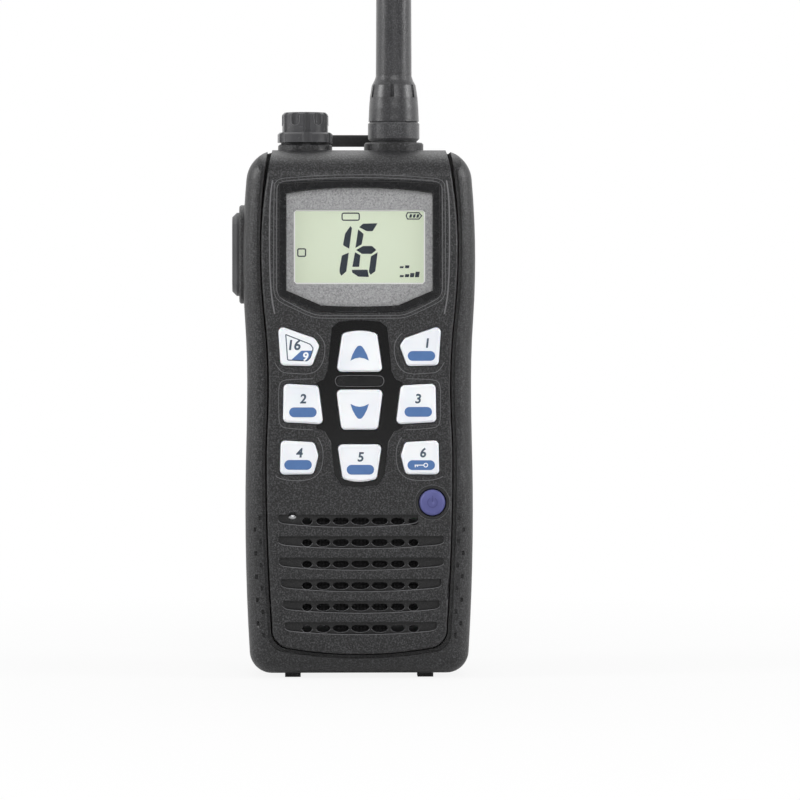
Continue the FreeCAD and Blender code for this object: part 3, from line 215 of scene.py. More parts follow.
def raised(tree: bpy.types.NodeTree, height: bpy.types.NodeSocket, depth_mm: float,
           strength: float = 1.0) -> bpy.types.NodeSocket:
    """Return a bump normal of the given real depth."""
    return add_node(tree, "ShaderNodeBump",
                    {"Strength": strength, "Distance": depth_mm * MM},
                    {"Height": height}).outputs["Normal"]


# Finishes


@dataclass(frozen=True)
class GrainedMoulding:
    """ABS and polycarbonate moulded in a spark-eroded tool.

    The eye sees a dark body with fine pale sparkle where the grain catches light. The
    real grain is about 0.1 mm, so it is drawn coarser to show at this distance.
    """

    name: str
    dark: str
    light: str
    grain_mm: float = 0.22
    depth_mm: float = 0.05
    roughness: float = 0.46
    sheen: float = 0.08

    def grain(self, tree: bpy.types.NodeTree) -> tuple[bpy.types.NodeSocket,
                                                       bpy.types.NodeSocket]:
        """Return the grain's height and its sparkling colour."""
        fine = grains(tree, self.grain_mm, 3.0, 0.65)
        sparkle = spread(tree, fine, SPARKLE_LOW, SPARKLE_HIGH, 0.0, 1.0)
        return fine, two_tone(tree, sparkle, self.dark, self.light)

    def material(self) -> bpy.types.Material:
        """Return the finished material."""
        material, tree = new_material(self.name)
        fine, colour = self.grain(tree)
        cloud = grains(tree, 9.0, 1.0)
        close_material(
            tree, {"IOR": 1.52, "Sheen Weight": self.sheen, "Sheen Roughness": 0.5},
            {"Base Color": colour,
             "Roughness": varied(tree, cloud, self.roughness - 0.04,
                                 self.roughness + 0.06),
             "Normal": raised(tree, fine, self.depth_mm, 0.8)})
        return material


@dataclass(frozen=True)
class CoverMoulding(GrainedMoulding):
    """Front cover: grained outside, polished in the key recess, painted shade in the recess
    and down in the slots.

    The tool is polished where the keys stand, so that floor is smooth and glossy, and its
    colour there is also painted near black as shade. The slots keep the grain, and their
    floors are painted darker as shade, since light hardly reaches them.
    """

    recess_half_width: float = 11.6
    recess_depths: tuple[float, float] = (-20.05, -17.4)
    recess_heights: tuple[float, float] = (51.4, 96.0)
    # Painted shade: near-black colour of the polished recess floor, darker than the grain so
    # that it stands in for the shade in the recess.
    recess_polish_and_painted_shade: str = "#060607"
    recess_roughness: float = 0.16
    recess_relief: float = 0.02
    slots_half_width: float = 22.0
    slots_depths: tuple[float, float] = (-20.3, -14.0)
    slots_heights: tuple[float, float] = (9.0, 46.5)
    # Painted shade: colour that darkens the slot floors so that it stands in for the shade
    # down in the slots.
    slot_painted_shade: str = "#070708"
    slot_painted_shade_share: float = 0.75
    outer_relief: float = 0.8

    def material(self) -> bpy.types.Material:
        """Return the finished material."""
        material, tree = new_material(self.name)
        place = add_node(tree, "ShaderNodeSeparateXYZ",
                         links={"Vector": object_place(tree)}).outputs
        across, depth, height = place["X"], place["Y"], place["Z"]
        recess = product(
            tree,
            between(tree, across, -self.recess_half_width, self.recess_half_width),
            between(tree, depth, *self.recess_depths),
            between(tree, height, *self.recess_heights))
        slots = product(
            tree,
            between(tree, across, -self.slots_half_width, self.slots_half_width),
            between(tree, depth, *self.slots_depths),
            between(tree, height, *self.slots_heights))
        fine, outer = self.grain(tree)
        # Painted shade: the key recess takes its polished near-black colour, darkened as
        # shade.
        polished = add_node(tree, "ShaderNodeMix",
                            {"data_type": "RGBA", 7: linear(self.recess_polish_and_painted_shade)},
                            {0: recess, 6: outer}).outputs[2]
        # Painted shade: the slot floors are darkened by this share.
        shaded = add_node(tree, "ShaderNodeMath",
                          {"operation": "MULTIPLY", 1: self.slot_painted_shade_share},
                          {0: slots}).outputs["Value"]
        colour = add_node(tree, "ShaderNodeMix",
                          {"data_type": "RGBA", 7: linear(self.slot_painted_shade)},
                          {0: shaded, 6: polished}).outputs[2]
        relief = spread(tree, recess, 0.0, 1.0, self.outer_relief, self.recess_relief)
        bump = add_node(tree, "ShaderNodeBump", {"Distance": self.depth_mm * MM},
                        {"Height": fine, "Strength": relief})
        close_material(
            tree, {"IOR": 1.52},
            {"Base Color": colour,
             "Roughness": spread(tree, recess, 0.0, 1.0, self.roughness,
                                 self.recess_roughness),
             "Normal": bump.outputs["Normal"]})
        return material


@dataclass(frozen=True)
class PolishedMoulding:
    """ABS from a polished tool: black with clear reflections and faint handling haze."""

    name: str
    colour: str
    haze: str
    roughness: float = 0.16
    scuffs_per_metre: float = 700.0

    def material(self) -> bpy.types.Material:
        """Return the finished material."""
        material, tree = new_material(self.name)
        haze = grains(tree, 5.0, 4.0, 0.6)
        scuffs = add_node(tree, "ShaderNodeTexNoise",
                          {"Scale": self.scuffs_per_metre, "Detail": 2.0,
                           "Distortion": 1.5},
                          {"Vector": object_place(tree)}).outputs["Fac"]
        close_material(
            tree, {"IOR": 1.52, "Coat Weight": 0.2, "Coat Roughness": 0.08},
            {"Base Color": two_tone(tree, haze, self.colour, self.haze),
             "Roughness": spread(tree, scuffs, 0.35, 0.7, self.roughness,
                                 self.roughness + 0.14)})
        return material


@dataclass(frozen=True)
class MouldedRubber:
    """Silicone or thermoplastic rubber: soft broad highlights, dust in the texture."""

    name: str
    dark: str
    light: str
    grain_mm: float = 0.3
    depth_mm: float = 0.03
    roughness: float = 0.6
    glow: float = 0.0

    def material(self) -> bpy.types.Material:
        """Return the finished material."""
        material, tree = new_material(self.name)
        fine = grains(tree, self.grain_mm, 2.0)
        tint = grains(tree, 6.0, 1.0)
        settings = {"IOR": 1.43, "Sheen Weight": 0.12, "Sheen Roughness": 0.4}
        if self.glow > 0:
            settings.update({"Subsurface Weight": self.glow, "Subsurface Scale": 0.0008})
        close_material(
            tree, settings,
            {"Base Color": two_tone(tree, spread(tree, tint, 0.35, 0.65, 0.0, 1.0),
                                    self.dark, self.light),
             "Roughness": varied(tree, fine, self.roughness - 0.06,
                                 self.roughness + 0.08),
             "Normal": raised(tree, fine, self.depth_mm, 0.6)})
        return material


@dataclass(frozen=True)
class FlakePrint:
    """Silver-grey screen print behind the window: metal flake gives a pale speckle."""

    name: str = "silver_flake_screen_print"
    dark: str = "#7a7a7b"
    light: str = "#d0d0d1"
    flakes_per_metre: float = 2600.0
    flake_share: float = 0.45
    flake_base: float = 0.1

    def material(self) -> bpy.types.Material:
        """Return the finished material."""
        material, tree = new_material(self.name)
        flake = add_node(tree, "ShaderNodeTexVoronoi", {"Scale": self.flakes_per_metre},
                         {"Vector": object_place(tree)}).outputs["Color"]
        fine = grains(tree, 0.18, 3.0, 0.7)
        mask = add_node(tree, "ShaderNodeMath",
                        {"operation": "MULTIPLY_ADD", 1: self.flake_share,
                         2: self.flake_base}, {0: flake}).outputs["Value"]
        mixed = add_node(tree, "ShaderNodeMath", {"operation": "ADD"},
                         {0: mask, 1: varied(tree, fine, -0.1, 0.5)})
        close_material(
            tree, {"IOR": 1.5, "Metallic": 0.25},
            {"Base Color": two_tone(tree, mixed.outputs["Value"], self.dark, self.light),
             "Roughness": varied(tree, fine, 0.35, 0.55)})
        return material


@dataclass(frozen=True)
class PrintedInk:
    """Screen-printed ink: flat and slightly patchy, thinner where the screen lay."""

    name: str
    dark: str
    light: str
    roughness: float = 0.5

    def material(self) -> bpy.types.Material:
        """Return the finished material."""
        material, tree = new_material(self.name)
        patch = grains(tree, 0.8, 3.0)
        close_material(
            tree, {"IOR": 1.5},
            {"Base Color": two_tone(tree, patch, self.dark, self.light),
             "Roughness": varied(tree, patch, self.roughness - 0.05,
                                 self.roughness + 0.08)})
        return material


@dataclass(frozen=True)
class DisplayGlass:
    """Reflective liquid crystal panel: even yellow-green, with painted shade that makes it a
    shade darker at the rim.
    """

    name: str = "liquid_crystal_panel"
    middle: str = "#ecf7de"
    # Painted shade: the panel's colour towards its rim, darker than the middle.
    rim: str = "#e6f1d6"
    reach_across: float = 0.019
    reach_up: float = 0.012

    def material(self) -> bpy.types.Material:
        """Return the finished material."""
        material, tree = new_material(self.name)
        lo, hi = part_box("lcd_panel")
        centre = (lo + hi) / 2
        place = add_node(tree, "ShaderNodeMapping",
                         {"Location": (-centre.x / self.reach_across, 0.0,
                                       -centre.z / self.reach_up),
                          "Scale": (1 / self.reach_across, 0.0, 1 / self.reach_up)},
                         {"Vector": object_place(tree)}).outputs["Vector"]
        reach = add_node(tree, "ShaderNodeVectorMath", {"operation": "LENGTH"},
                         {0: place}).outputs["Value"]
        mottle = grains(tree, 1.2, 2.0)
        # Painted shade: darkens the panel towards its rim.
        edge = spread(tree, reach, 0.5, 1.3, 0.0, 1.0)
        close_material(
            tree, {"IOR": 1.5},
            {"Base Color": two_tone(tree, edge, self.middle, self.rim),
             "Roughness": varied(tree, mottle, 0.28, 0.36)})
        return material


@dataclass(frozen=True)
class ClearWindow:
    """Hard-coated polycarbonate: almost unseen, with a thin sharp reflection."""

    name: str = "hard_coated_window"

    def material(self) -> bpy.types.Material:
        """Return the finished material."""
        material, tree = new_material(self.name)
        smear = grains(tree, 7.0, 3.0)
        close_material(
            tree, {"Base Color": linear("#14171a"), "IOR": 1.58, "Alpha": 0.06},
            {"Roughness": varied(tree, smear, 0.04, 0.12)})
        return material


@dataclass(frozen=True)
class WorkedMetal:
    """Plain or plated metal, marked by how it was made.

    A stretch along one axis gives drawn or brushed lines, and none gives the even grain
    of a casting or a plating.
    """

    name: str
    dark: str
    light: str
    roughness: float
    grain_mm: float = 0.4
    stretch: tuple[float, float, float] = (1.0, 1.0, 1.0)
    depth_mm: float = 0.01

    def material(self) -> bpy.types.Material:
        """Return the finished material."""
        material, tree = new_material(self.name)
        place = add_node(tree, "ShaderNodeMapping", {"Scale": self.stretch},
                         {"Vector": object_place(tree)}).outputs["Vector"]
        grain = add_node(tree, "ShaderNodeTexNoise",
                         {"Scale": noise_scale(self.grain_mm), "Detail": 4.0},
                         {"Vector": place}).outputs["Fac"]
        close_material(
            tree, {"Metallic": 1.0},
            {"Base Color": two_tone(tree, grain, self.dark, self.light),
             "Roughness": varied(tree, grain, self.roughness - 0.06,
                                 self.roughness + 0.1),
             "Normal": raised(tree, grain, self.depth_mm, 0.5)})
        return material


@dataclass(frozen=True)
class CircuitBoard:
    """Glass-epoxy board: green resist over copper tracks, a little raised."""

    name: str = "green_resist_board"
    resist: str = "#0f4a2a"
    track: str = "#1c6a3c"
    tracks_per_metre: float = 420.0

    def material(self) -> bpy.types.Material:
        """Return the finished material."""
        material, tree = new_material(self.name)
        tracks = add_node(tree, "ShaderNodeTexVoronoi",
                          {"Scale": self.tracks_per_metre, "distance": "MANHATTAN",
                           "feature": "F1"},
                          {"Vector": object_place(tree)}).outputs["Distance"]
        mask = spread(tree, tracks, 0.45, 0.55, 0.0, 1.0)
        close_material(
            tree, {"IOR": 1.55, "Coat Weight": 0.3, "Coat Roughness": 0.2},
            {"Base Color": two_tone(tree, mask, self.resist, self.track),
             "Roughness": spread(tree, tracks, 0.0, 1.0, 0.35, 0.5),
             "Normal": raised(tree, mask, 0.03, 0.6)})
        return material


@dataclass(frozen=True)
class WovenCloth:
    """Acoustic cloth: a plain weave of 0.5 mm threads, drawn at its real spacing."""

    name: str = "acoustic_cloth"
    dark: str = "#0c0c0d"
    light: str = "#2a2a2c"
    thread_mm: float = 0.5

    def material(self) -> bpy.types.Material:
        """Return the finished material."""
        material, tree = new_material(self.name)
        pairs_per_metre = 1.0 / (2 * self.thread_mm * MM)
        place = object_place(tree)
        waves = [add_node(tree, "ShaderNodeTexWave",
                          {"wave_type": "BANDS", "bands_direction": way,
                           "Scale": pairs_per_metre / BANDS_PER_UNIT},
                          {"Vector": place}).outputs["Fac"]
                 for way in ("X", "Z")]
        weave = product(tree, *waves)
        close_material(
            tree, {"Roughness": 0.9, "Sheen Weight": 0.3, "Sheen Roughness": 0.5},
            {"Base Color": two_tone(tree, weave, self.dark, self.light),
             "Normal": raised(tree, weave, 0.12, 0.8)})
        return material


@dataclass(frozen=True)
class ShrinkSleeve:
    """Printed shrink film over the cells: blue-grey, glossy, with fine wrinkles."""

    name: str = "cell_shrink_sleeve"
    dark: str = "#39475c"
    light: str = "#4c5c74"
    wrinkles_per_metre: float = 160.0

    def material(self) -> bpy.types.Material:
        """Return the finished material."""
        material, tree = new_material(self.name)
        place = add_node(tree, "ShaderNodeMapping", {"Scale": (1.0, 1.0, 4.0)},
                         {"Vector": object_place(tree)}).outputs["Vector"]
        wrinkle = add_node(tree, "ShaderNodeTexNoise",
                           {"Scale": self.wrinkles_per_metre, "Detail": 3.0},
                           {"Vector": place}).outputs["Fac"]
        close_material(
            tree, {"IOR": 1.5},
            {"Base Color": two_tone(tree, wrinkle, self.dark, self.light),
             "Roughness": varied(tree, wrinkle, 0.22, 0.38),
             "Normal": raised(tree, wrinkle, 0.2, 0.5)})
        return material


CASE = GrainedMoulding("case_abs_spark_grain", "#0d0d0e", "#48484a", 0.21, 0.09, 0.38)
COVER = CoverMoulding("cover_abs_spark_grain", "#0d0d0e", "#4c4c4e", 0.21, 0.1, 0.38)
PACK = GrainedMoulding("pack_abs_spark_grain", "#101011", "#3a3a3c", 0.2, 0.05, 0.5)
KNOB = GrainedMoulding("knob_nylon_fine_grain", "#343436", "#606062", 0.2, 0.03, 0.3, 0.3)
CAP = PolishedMoulding("cap_polished_nylon", "#434345", "#545456", 0.14)
CLIP = GrainedMoulding("clip_filled_nylon", "#0b0b0c", "#202022", 0.3, 0.03, 0.38)
GLOSS = PolishedMoulding("polished_black_abs", "#08080a", "#141416")
KEY_CAP = MouldedRubber("key_white_silicone", "#eceff5", "#f6f8fb", 0.3, 0.01, 0.42, 0.08)
POWER_CAP = MouldedRubber("power_violet_silicone", "#56588f", "#676aa4", 0.25, 0.02, 0.5)
SOFT = MouldedRubber("black_thermoplastic_rubber", "#2b2b2d", "#3a3a3c", 0.25, 0.05, 0.58)
# Painted light: the talk pad's grey is its rubber's tone, raised so that it stands in for
# the side light falling on it.
PAD_WITH_PAINTED_LIGHT = MouldedRubber("talk_pad_rubber_painted_light", "#3a3a3c", "#4a4a4c", 0.2, 0.05, 0.5)
WHIP = GrainedMoulding("whip_moulded_rubber", "#2e2e30", "#505052", 0.2, 0.04, 0.3, 0.3)
SEAL = MouldedRubber("nitrile_seal", "#101011", "#1a1a1b", 0.4, 0.02, 0.55)
MASK = FlakePrint()
PANEL = DisplayGlass()
WINDOW = ClearWindow()
DIFFUSER = PrintedInk("opal_backlight", "#dcdcd2", "#ebebe2", 0.45)
SEGMENT = PrintedInk("display_segment", "#28303a", "#303844", 0.4)
RIM_INK = PrintedInk("display_pale_rim", "#fafcf6", "#ffffff", 0.45)
BLUE_INK = PrintedInk("legend_blue_ink", "#476ca2", "#5277ad", 0.45)
SLATE_INK = PrintedInk("legend_slate_ink", "#3c4c5c", "#4a5a6a", 0.45)
WHITE_INK = PrintedInk("legend_white_ink", "#eef1f6", "#f8fafc", 0.45)
FAINT_INK = PrintedInk("power_mark_ink", "#43447c", "#4c4d87", 0.5)
CONE = GrainedMoulding("speaker_paper_cone", "#0d0d0e", "#1c1c1e", 0.5, 0.08, 0.7)
CASTING = WorkedMetal("cast_aluminium", "#8f9094", "#b9babd", 0.48, 0.6, depth_mm=0.05)
TINPLATE = WorkedMetal("tinned_steel_sheet", "#9a9b9d", "#c0c1c2", 0.3, 0.3,
                       (1.0, 1.0, 0.1))
CHROME = WorkedMetal("nickel_plated_brass", "#a8a7a2", "#cdccc8", 0.18, 0.5)
GOLD = WorkedMetal("gold_plated_contact", "#b8933f", "#dcb967", 0.24, 0.4)
SCREEN = WorkedMetal("woven_steel_screen", "#8a8b8d", "#d4d5d6", 0.34, 0.12)
# Painted highlight: light grey for beads along moulded edges, standing in for the light that
# these edges catch.
HIGHLIGHT_EDGE = PolishedMoulding("painted_highlight_mould_edge", "#5a5a5c", "#6c6c6e", 0.3)
# Painted highlight: light grey for the slot lips and scoop rims, standing in for the light
# that their sharp edges catch.
HIGHLIGHT_LIP = PolishedMoulding("painted_highlight_slot_lip", "#4a4a4c", "#7a7a7c", 0.3)
STAINLESS = WorkedMetal("stainless_screw", "#77787a", "#a5a6a8", 0.3, 0.2)
SPRING = WorkedMetal("drawn_spring_wire", "#6d6e70", "#97989a", 0.34, 0.15)

FINISH_OF_NODE = {
    CASE: ("rear_case", "talk_frame"),
    COVER: ("front_cover",),
    PACK: ("battery_case", "battery_lid", "battery_latch"),
    KNOB: ("antenna_collar", "talk_switch"),
    CAP: ("jack_cap",),
    CLIP: ("clip_lever", "clip_plate"),
    GLOSS: ("display_bezel", "key_bar", "power_key_ring"),
    KEY_CAP: ("key_top_left", "key_up", "key_top_right", "key_mid_left", "key_down",
              "key_mid_right", "key_low_left", "key_low_middle", "key_low_right"),
    POWER_CAP: ("power_key",),
    PAD_WITH_PAINTED_LIGHT: ("talk_pad",),
    SOFT: ("keypad_sheet", "microphone_boot"),
    WHIP: ("antenna_whip",),
    SEAL: ("main_gasket", "antenna_seal", "jack_cap_seal"),
    MASK: ("window_mask",),
    PANEL: ("lcd_panel",),
    WINDOW: ("display_window",),
    DIFFUSER: ("lcd_backlight",),
    CONE: ("speaker",),
    WovenCloth(): ("speaker_cloth",),
    CircuitBoard(): ("main_board", "radio_board", "battery_board"),
    ShrinkSleeve(): ("battery_cells",),
    CASTING: ("chassis", "microphone"),
    TINPLATE: ("shield_can",),
    CHROME: ("antenna_socket", "antenna_stud", "jack_socket"),
    GOLD: ("case_contacts", "battery_contacts", "charging_terminals"),
    STAINLESS: ("case_screws", "clip_pin", "clip_screws"),
    SPRING: ("latch_spring", "clip_spring"),
}


def dress_nodes() -> None:
    """Give every CAD node its finish."""
    for finish, names in FINISH_OF_NODE.items():
        material = finish.material()
        for name in names:
            for place in frame["nodes"][name].material_slots:
                place.material = material
        LOG.info("finish %s on %s", finish.name, ", ".join(names))


# Modelling helpers


def nothing_selected() -> None:
    """Leave edit mode and drop the selection, so that an operator meets one piece."""
    if bpy.context.object is not None and bpy.context.object.mode != "OBJECT":
        bpy.ops.object.mode_set(mode="OBJECT")
    bpy.ops.object.select_all(action="DESELECT")


def only(piece: bpy.types.Object) -> None:
    """Make a piece the one that the next operator works on."""
    nothing_selected()
    piece.select_set(True)
    bpy.context.view_layer.objects.active = piece


@contextmanager
def edited(piece: bpy.types.Object) -> Iterator[None]:
    """Open a piece in edit mode with all of it selected, and close it afterwards."""
    only(piece)
    bpy.ops.object.mode_set(mode="EDIT")
    bpy.ops.mesh.select_all(action="SELECT")
    yield
    bpy.ops.object.mode_set(mode="OBJECT")


def made(name: str) -> bpy.types.Object:
    """Name the piece just added and fix its place into its mesh."""
    piece = bpy.context.object
    piece.name = name
    bpy.ops.object.transform_apply(location=True, rotation=True, scale=True)
    return piece


def sheet_at(name: str, x: float, z: float, width: float, height: float,
             front: float) -> bpy.types.Object:
    """Add a flat rectangle that faces the front.

    Args:
        name: the piece's name.
        x: its middle, in mm.
        z: its middle height, in mm.
        width: its width, in mm.
        height: its height, in mm.
        front: its y, in mm.

    Returns:
        The piece.
    """
    nothing_selected()
    bpy.ops.mesh.primitive_plane_add(size=1, location=(x * MM, front * MM, z * MM),
                                     rotation=FACING_FRONT)
    bpy.context.object.scale = (width * MM, height * MM, 1)
    return made(name)


def trimmed(name: str, outline: Outline, front: float) -> bpy.types.Object:
    """Cut a flat sheet to a convex outline, one straight cut per side.

    Args:
        name: the piece's name.
        outline: corners in mm, anticlockwise as seen from the front.
        front: its y, in mm.

    Returns:
        The piece.
    """
    across = [x for x, _ in outline]
    up = [z for _, z in outline]
    piece = sheet_at(name, (min(across) + max(across)) / 2, (min(up) + max(up)) / 2,
                     max(across) - min(across) + 2, max(up) - min(up) + 2, front)
    with edited(piece):
        for (x, z), (next_x, next_z) in zip(outline, [*outline[1:], outline[0]]):
            outward = Vector((next_z - z, 0, x - next_x)).normalized()
            bpy.ops.mesh.select_all(action="SELECT")
            bpy.ops.mesh.bisect(plane_co=(x * MM, front * MM, z * MM),
                                plane_no=outward, clear_outer=True, threshold=1e-7)
    return piece


def round_corners(piece: bpy.types.Object, radius: float, steps: int = 4) -> None:
    """Round the corners of a flat piece.

    Args:
        piece: the flat piece.
        radius: distance along each side that the rounding takes, in mm.
        steps: sides of each rounding.
    """
    with edited(piece):
        bpy.ops.mesh.bevel(offset=radius * MM, segments=steps, affect="VERTICES",
                           offset_type="OFFSET", clamp_overlap=True)


def hollow(piece: bpy.types.Object, width: float) -> None:
    """Leave only a band of the given width, in mm, along the edge of a flat piece."""
    with edited(piece):
        bpy.ops.mesh.dissolve_limited(angle_limit=0.001)
        bpy.ops.mesh.select_all(action="SELECT")
        bpy.ops.mesh.inset(thickness=width * MM, depth=0, use_boundary=True)
        bpy.ops.mesh.delete(type="FACE")


def merged(piece: bpy.types.Object) -> None:
    """Weld touching sheets of a flat piece into one face."""
    with edited(piece):
        bpy.ops.mesh.remove_doubles(threshold=2e-6)
        bpy.ops.mesh.dissolve_limited(angle_limit=0.001)


def apply_modifier(piece: bpy.types.Object, kind: str, settings: Settings) -> None:
    """Add one modifier and apply it.

    Args:
        piece: the piece to change.
        kind: the modifier's type.
        settings: its attributes with their values.
    """
    only(piece)
    modifier = piece.modifiers.new(kind.title(), kind)
    for name, value in settings.items():
        setattr(modifier, name, value)
    bpy.ops.object.modifier_apply(modifier=modifier.name)


def thicken(piece: bpy.types.Object, depth: float) -> None:
    """Give a flat piece its depth in mm, backwards from its face."""
    apply_modifier(piece, "SOLIDIFY", {"thickness": depth * MM, "offset": -1.0})


def finished(piece: bpy.types.Object, material: bpy.types.Material, body: str) -> None:
    """Dress a piece, smooth it by angle and let it ride on its body.

    Args:
        piece: the modelled piece.
        material: its finish.
        body: the CAD body it moves with.
    """
    with edited(piece):
        bpy.ops.mesh.normals_make_consistent(inside=False)
    bpy.ops.object.shade_smooth_by_angle(angle=math.radians(SMOOTH_DEGREES))
    piece.data.materials.clear()
    piece.data.materials.append(material)
    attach(piece, body)
    LOG.info("piece %s rides on %s", piece.name, body)


def joined(name: str, pieces: Iterable[bpy.types.Object]) -> bpy.types.Object:
    """Join separate meshes of one piece under one name."""
    pieces = list(pieces)
    nothing_selected()
    for piece in pieces:
        piece.select_set(True)
    bpy.context.view_layer.objects.active = pieces[0]
    if len(pieces) > 1:
        bpy.ops.object.join()
    bpy.context.object.name = name
    return bpy.context.object


def figure(name: str, text: str, x: float, z: float, height: float, front: float,
           depth: float, slant: float = 0.12) -> bpy.types.Object:
    """Model plain numerals that face the front.

    Args:
        name: the piece's name.
        text: the numerals.
        x: their middle, in mm.
        z: their middle height, in mm.
        height: height of a numeral, in mm.
        front: y of their face, in mm.
        depth: their thickness, in mm.
        slant: how far they lean.

    Returns:
        The piece.
    """
    nothing_selected()
    bpy.ops.object.text_add(location=(0, 0, 0))
    letters = bpy.context.object
    letters.data.body = text
    letters.data.size = height * MM / NUMERAL_SHARE
    letters.data.shear = slant
    letters.data.offset = STROKE_SWELL * MM
    letters.data.resolution_u = 3
    letters.data.align_x = "CENTER"
    bpy.ops.object.convert(target="MESH")
    bpy.context.object.rotation_euler = FACING_FRONT
    bpy.context.object.location = (x * MM, front * MM, (z - height / 2) * MM)
    piece = made(name)
    thicken(piece, depth)
    return piece


def bead(name: str, points: Sequence[tuple[float, float, float]], radius: float,
         closed: bool = False) -> bpy.types.Object:
    """Model a thin round bead along a smooth line.

    Args:
        name: the piece's name.
        points: places of the line's controls, in mm.
        radius: the bead's radius, in mm.
        closed: whether its ends join.

    Returns:
        The piece.
    """
    nothing_selected()
    bpy.ops.curve.primitive_nurbs_path_add(location=(0, 0, 0))
    line = bpy.context.object
    line.data.splines.clear()
    spline = line.data.splines.new("NURBS")
    spline.points.add(len(points) - 1)
    for place, (x, y, z) in zip(spline.points, points):
        place.co = (x * MM, y * MM, z * MM, 1)
    spline.order_u = 3
    spline.use_endpoint_u = not closed
    spline.use_cyclic_u = closed
    spline.resolution_u = 4
    line.data.bevel_depth = radius * MM
    line.data.bevel_resolution = 1
    line.data.use_fill_caps = True
    bpy.ops.object.convert(target="MESH")
    return made(name)


def wire(name: str, points: Outline, front: float, radius: float,
         closed: bool = False) -> bpy.types.Object:
    """Model a bead along a line on the front, whose middle lies at the given y in mm."""
    return bead(name, [(x, front, z) for x, z in points], radius, closed)


# Sub-assemblies


class Way(Enum):
    """Which way an arrow points."""

    UP = 1
    DOWN = -1


